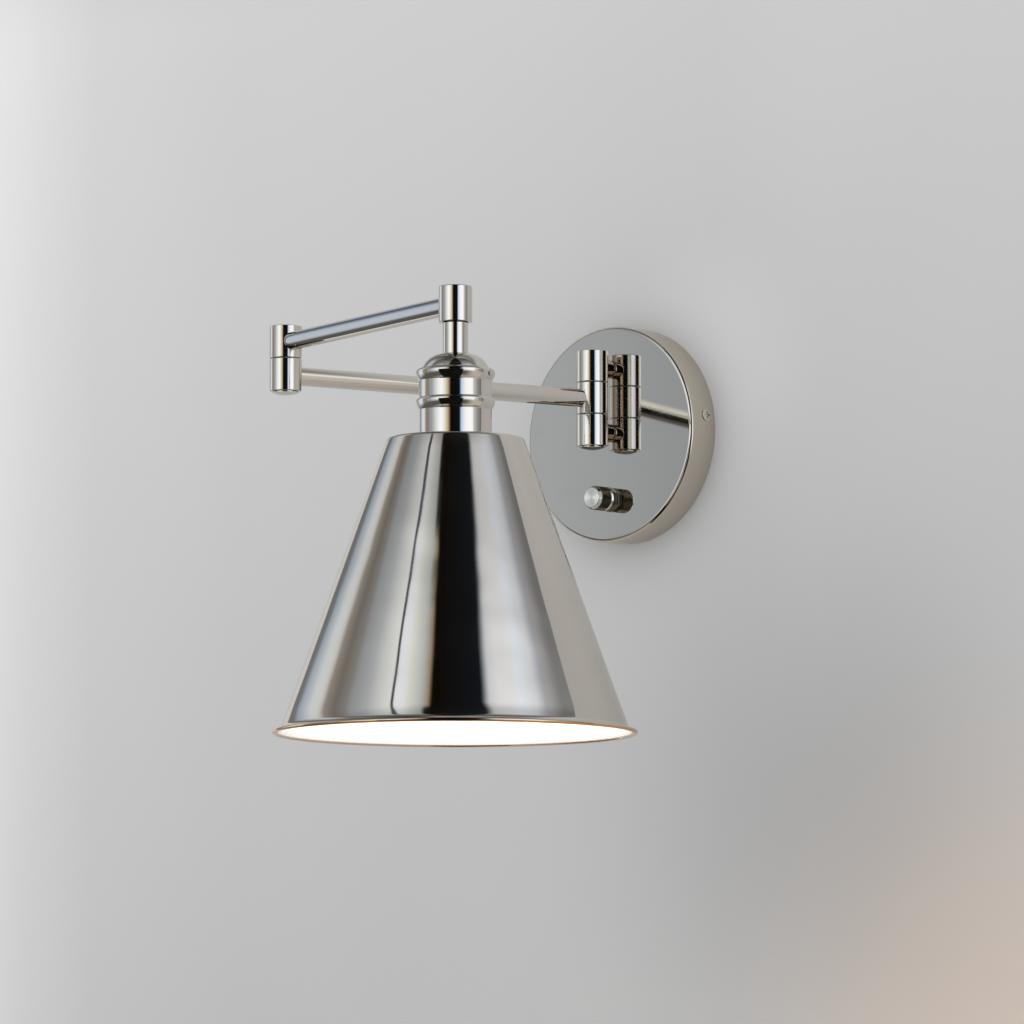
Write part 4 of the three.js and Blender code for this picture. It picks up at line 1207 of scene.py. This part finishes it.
class SCONCE_OT_stage(bpy.types.Operator):
    """Make the wall, the light and the camera"""

    bl_idname = "sconce.stage"
    bl_label = "Stage"

    def execute(self, context):
        self.wall()
        self.room()
        self.camera()
        context.scene.view_settings.view_transform = "Standard"
        return {"FINISHED"}

    def wall(self):
        """The wall has the outlet box's round hole behind the plate, and hides nothing from behind."""
        hole, reach = PLATE_RADIUS - 2 * MM, 4.0
        left, right = WALL_ENDS
        shape = bmesh.new()
        steps = 96
        inner, outer = [], []
        for k in range(steps):
            angle = 2 * math.pi * k / steps
            across, upward = math.cos(angle), math.sin(angle)
            inner.append(shape.verts.new((hole * across, 0, hole * upward)))
            scale = reach / max(abs(across), abs(upward))
            outer.append(shape.verts.new((max(left, min(across * scale, right)), 0, upward * scale)))
        for k in range(steps):
            after = (k + 1) % steps
            shape.faces.new([inner[k], inner[after], outer[after], outer[k]])
        wall = to_object(shape, "wall", self.paint())
        if wall.data.polygons[0].normal.y > 0:
            wall.data.flip_normals()

    def paint(self):
        made = Finish("wall_paint")
        left, right = WALL_ENDS
        along = (made.split(made.place, 0) - left) / (right - left)
        # Painted light and shade along the wall's length.
        stops = [((x - left) / (right - left), tone / WALL_LIGHTEST) for x, tone in WALL_TONES]
        # Painted shadow: a soft darker patch low and right of the plate.
        shade = 1.0 - self.pool(made, (0.14, 0, -0.22), 0.22) * 0.2
        # Painted light: a soft lift round the plate's upper right, which lightens its shadow there.
        shade = shade + self.pool(made, (0.055, 0, 0.035), 0.09) * 0.14
        mottle = made.noise(7, 3) * 0.04 + 0.98
        # Painted light and shade: the wall grows darker upwards at its far left and lighter upwards
        # elsewhere, and dims above 0.26 m.
        height = made.split(made.place, 2)
        fall = height.math("MAXIMUM", -0.5) * (along.ramp(0.14, 0.26) * 0.9 - 0.5) + 0.99
        fall = fall * (1.0 - height.ramp(0.26, 0.50) * 0.6)
        level = made.scaled(made.tones(along, stops), shade * fall * mottle * WALL_LIGHTEST)
        # Painted light: a warm patch low and right on the wall, centred 0.26 m across and 0.34 m down.
        base = made.blend(self.pool(made, (0.26, 0, -0.34), 0.24), studio().wall, studio().wall_painted_warm_light)
        made.set(base_color=made.times(level, base), roughness=0.9,
                 normal=made.bump(made.noise(900, 2), 0.02 * MM))
        behind = made.node("ShaderNodeNewGeometry", output="Backfacing")
        clear = made.node("ShaderNodeBsdfTransparent")
        front = Socket(made, made.shader.outputs[0])
        mixed = made.node("ShaderNodeMixShader", None, {0: behind, 1: front, 2: clear})
        made.feed(made.tree.nodes["Material Output"].inputs["Surface"], mixed)
        return made.material

    def pool(self, made, centre, radius):
        """A soft round patch for painted light and shade: 1 at its centre and 0 outside its radius."""
        spot = made.centred(centre)
        away = made.node("ShaderNodeVectorMath", {"operation": "LENGTH"}, {0: spot}, 1)
        return 1.0 - away.ramp(0.0, radius)

    def room(self):
        """Even light on paint and plastic, tuned tones in the polish, and a pale background."""
        world = bpy.data.worlds.new("room")
        bpy.context.scene.world = world
        world.use_nodes = True
        made = Nodes(world.node_tree)
        way = made.node("ShaderNodeTexCoord", output="Generated")
        across, depth, upward = (made.split(way, k) for k in range(3))
        round_turn = across.math("ARCTAN2", -depth)
        seen = self.sides(made, round_turn, upward)
        seen = self.floor(made, round_turn, upward, seen)
        light_path = made.tree.nodes.new("ShaderNodeLightPath")
        glossy = Socket(made, light_path.outputs["Is Glossy Ray"])
        direct = Socket(made, light_path.outputs["Is Camera Ray"])
        light = made.blend(glossy, (1, 1, 1), seen)
        light = made.blend(direct, light, (0.60, 0.60, 0.61))
        made.feed(made.tree.nodes["Background"].inputs["Color"], light)

    def sides(self, made, round_turn, upward):
        """The mirrored room from the floor up, dimmer overhead."""
        degrees = round_turn * (180 / math.pi)
        low, tall = 1.0 - upward.ramp(0.15, 0.62), upward.ramp(0.30, 0.60)
        rise = upward.ramp(0.10, 0.68)
        from_flag = degrees - 40.0
        arch = upward.math("ARCSINE") * (180 / math.pi) + from_flag * from_flag * 0.00139
        top = arch.ramp(44.4, 46.4)
        shift = top * (1.0 - degrees.ramp(-60, -40)) * (5 / 360)
        stops = [((angle + 180) / 360, tone) for angle, tone in PANELS]
        panels = made.tones(round_turn / (2 * math.pi) + 0.5 - shift, stops)
        cooler = degrees.hump(6, 14, 17, 23) * tall + degrees.hump(90, 98, 112, 120) * tall * 0.45
        panels = made.times(panels, made.blend(cooler, (1, 1, 1), (0.95, 1.10, 1.42)))
        # The flag widens upwards, and its near side steps over along a bowed line near the top.
        reach, middle, soft = rise * 5.5 + 17.0, rise * 2.7 + 41.3, 4.0 - tall * 2.0
        near = middle - reach - arch.ramp(45.15, 45.45) * 6.0
        far = middle + reach + top * 4.0 - 0.3
        flag = degrees.hump(near - soft, near + soft, far - 4.0, far + 4.0)
        # The seam widens and moves over near the top. The notch shows only low down.
        seam_half = top * 1.3 + 0.6
        off_seam = (degrees + 9.5 - top * 3.0).math("ABSOLUTE").ramp(seam_half, seam_half + 1.0)
        seam = (1.0 - off_seam) * tall
        notch = degrees.hump(-41.4, -39.6, -38.5, -34) * (1.0 - tall)
        end = degrees.ramp(116, 132)
        beyond = degrees.ramp(97, 104) * (1.0 - upward.ramp(0.10, 0.30))
        drop = arch.ramp(42.5, 44.3) * 0.13 - arch.ramp(44.4, 46.1) * 0.37
        drop = drop * (degrees.ramp(-65, -20) * 0.8 + 0.2) + 1.0
        level = (low * 0.57 + 1.3) * drop
        for mask, depth in ((flag, 0.99), (seam, 0.95), (notch, 0.29), (end, 0.46), (beyond, 0.46)):
            level = level * (1.0 - mask * depth)
        dim = made.node("ShaderNodeVectorMath", {"operation": "MULTIPLY_ADD"},
                        {0: panels, 1: (0.28, 0.28, 0.28), 2: (0.11, 0.10, 0.085)})
        zenith = (1.0 - flag * 0.9) * (1.0 - upward.ramp(0.84, 0.96) * 0.6)
        return made.blend(
            upward.ramp(0.66, 0.83), made.scaled(panels, level), made.scaled(dim, zenith))

    def floor(self, made, round_turn, upward, seen):
        """The mirrored floor, lighter on the right, and the dark in front of the lamp below level."""
        right = round_turn.ramp(math.radians(70), math.radians(105))
        tone = made.blend(right, (0.13, 0.125, 0.12), (0.62, 0.58, 0.52))
        tone = made.blend(upward.ramp(-0.85, -0.60), (0.50, 0.43, 0.36), tone)
        seen = made.blend(upward.ramp(-0.40, -0.12), tone, seen)
        front = round_turn.hump(*(math.radians(angle) for angle in (-10, -8.5, 62, 68)))
        dark = front * (1.0 - upward.ramp(-0.07, 0.04))
        return made.blend(dark, seen, (0.008, 0.007, 0.006))

    def camera(self):
        turn, rise = studio().azimuth, studio().elevation
        back = Vector((math.sin(turn) * math.cos(rise), -math.cos(turn) * math.cos(rise),
                       math.sin(rise)))
        data = bpy.data.cameras.new("camera")
        data.lens = studio().lens
        data.sensor_width = 36
        data.clip_end = 50
        camera = bpy.data.objects.new("camera", data)
        bpy.context.scene.collection.objects.link(camera)
        camera.location = Vector(studio().aim) + back * studio().distance
        camera.rotation_mode = "QUATERNION"
        camera.rotation_quaternion = (-back).to_track_quat("-Z", "Y")
        bpy.context.scene.camera = camera


# ---- Add-on --------------------------------------------------------------------------------------------
STEPS = [
    SCONCE_OT_stage, SCONCE_OT_wall_plate, SCONCE_OT_fasteners, SCONCE_OT_dimmer, SCONCE_OT_knob,
    SCONCE_OT_posts, SCONCE_OT_knuckles, SCONCE_OT_arms, SCONCE_OT_head, SCONCE_OT_cup,
    SCONCE_OT_socket, SCONCE_OT_bulb, SCONCE_OT_shade]


class SCONCE_PT_panel(bpy.types.Panel):
    """Lists the steps that make the sconce"""

    bl_idname = "SCONCE_PT_panel"
    bl_label = "Swing Arm Sconce"
    bl_space_type = "VIEW_3D"
    bl_region_type = "UI"
    bl_category = "Sconce"

    def draw(self, context):
        for step in STEPS:
            self.layout.operator(step.bl_idname)
        for group in (form(), finish(), studio()):
            column = self.layout.column(align=True)
            for name in group.bl_rna.properties.keys():
                if name not in ("rna_type", "name"):
                    column.prop(group, name)


GROUPS = {"sconce_form": SconceForm, "sconce_finish": SconceFinish, "sconce_studio": SconceStudio}


def register():
    for kind in (*GROUPS.values(), *STEPS, SCONCE_PT_panel):
        bpy.utils.register_class(kind)
    for name, kind in GROUPS.items():
        setattr(bpy.types.Scene, name, PointerProperty(type=kind))


def unregister():
    for name in GROUPS:
        delattr(bpy.types.Scene, name)
    for kind in (SCONCE_PT_panel, *reversed(STEPS), *reversed(GROUPS.values())):
        bpy.utils.unregister_class(kind)


def main():
    register()
    for step in STEPS:
        module, name = step.bl_idname.split(".")
        getattr(getattr(bpy.ops, module), name)()


if __name__ == "__main__":
    main()
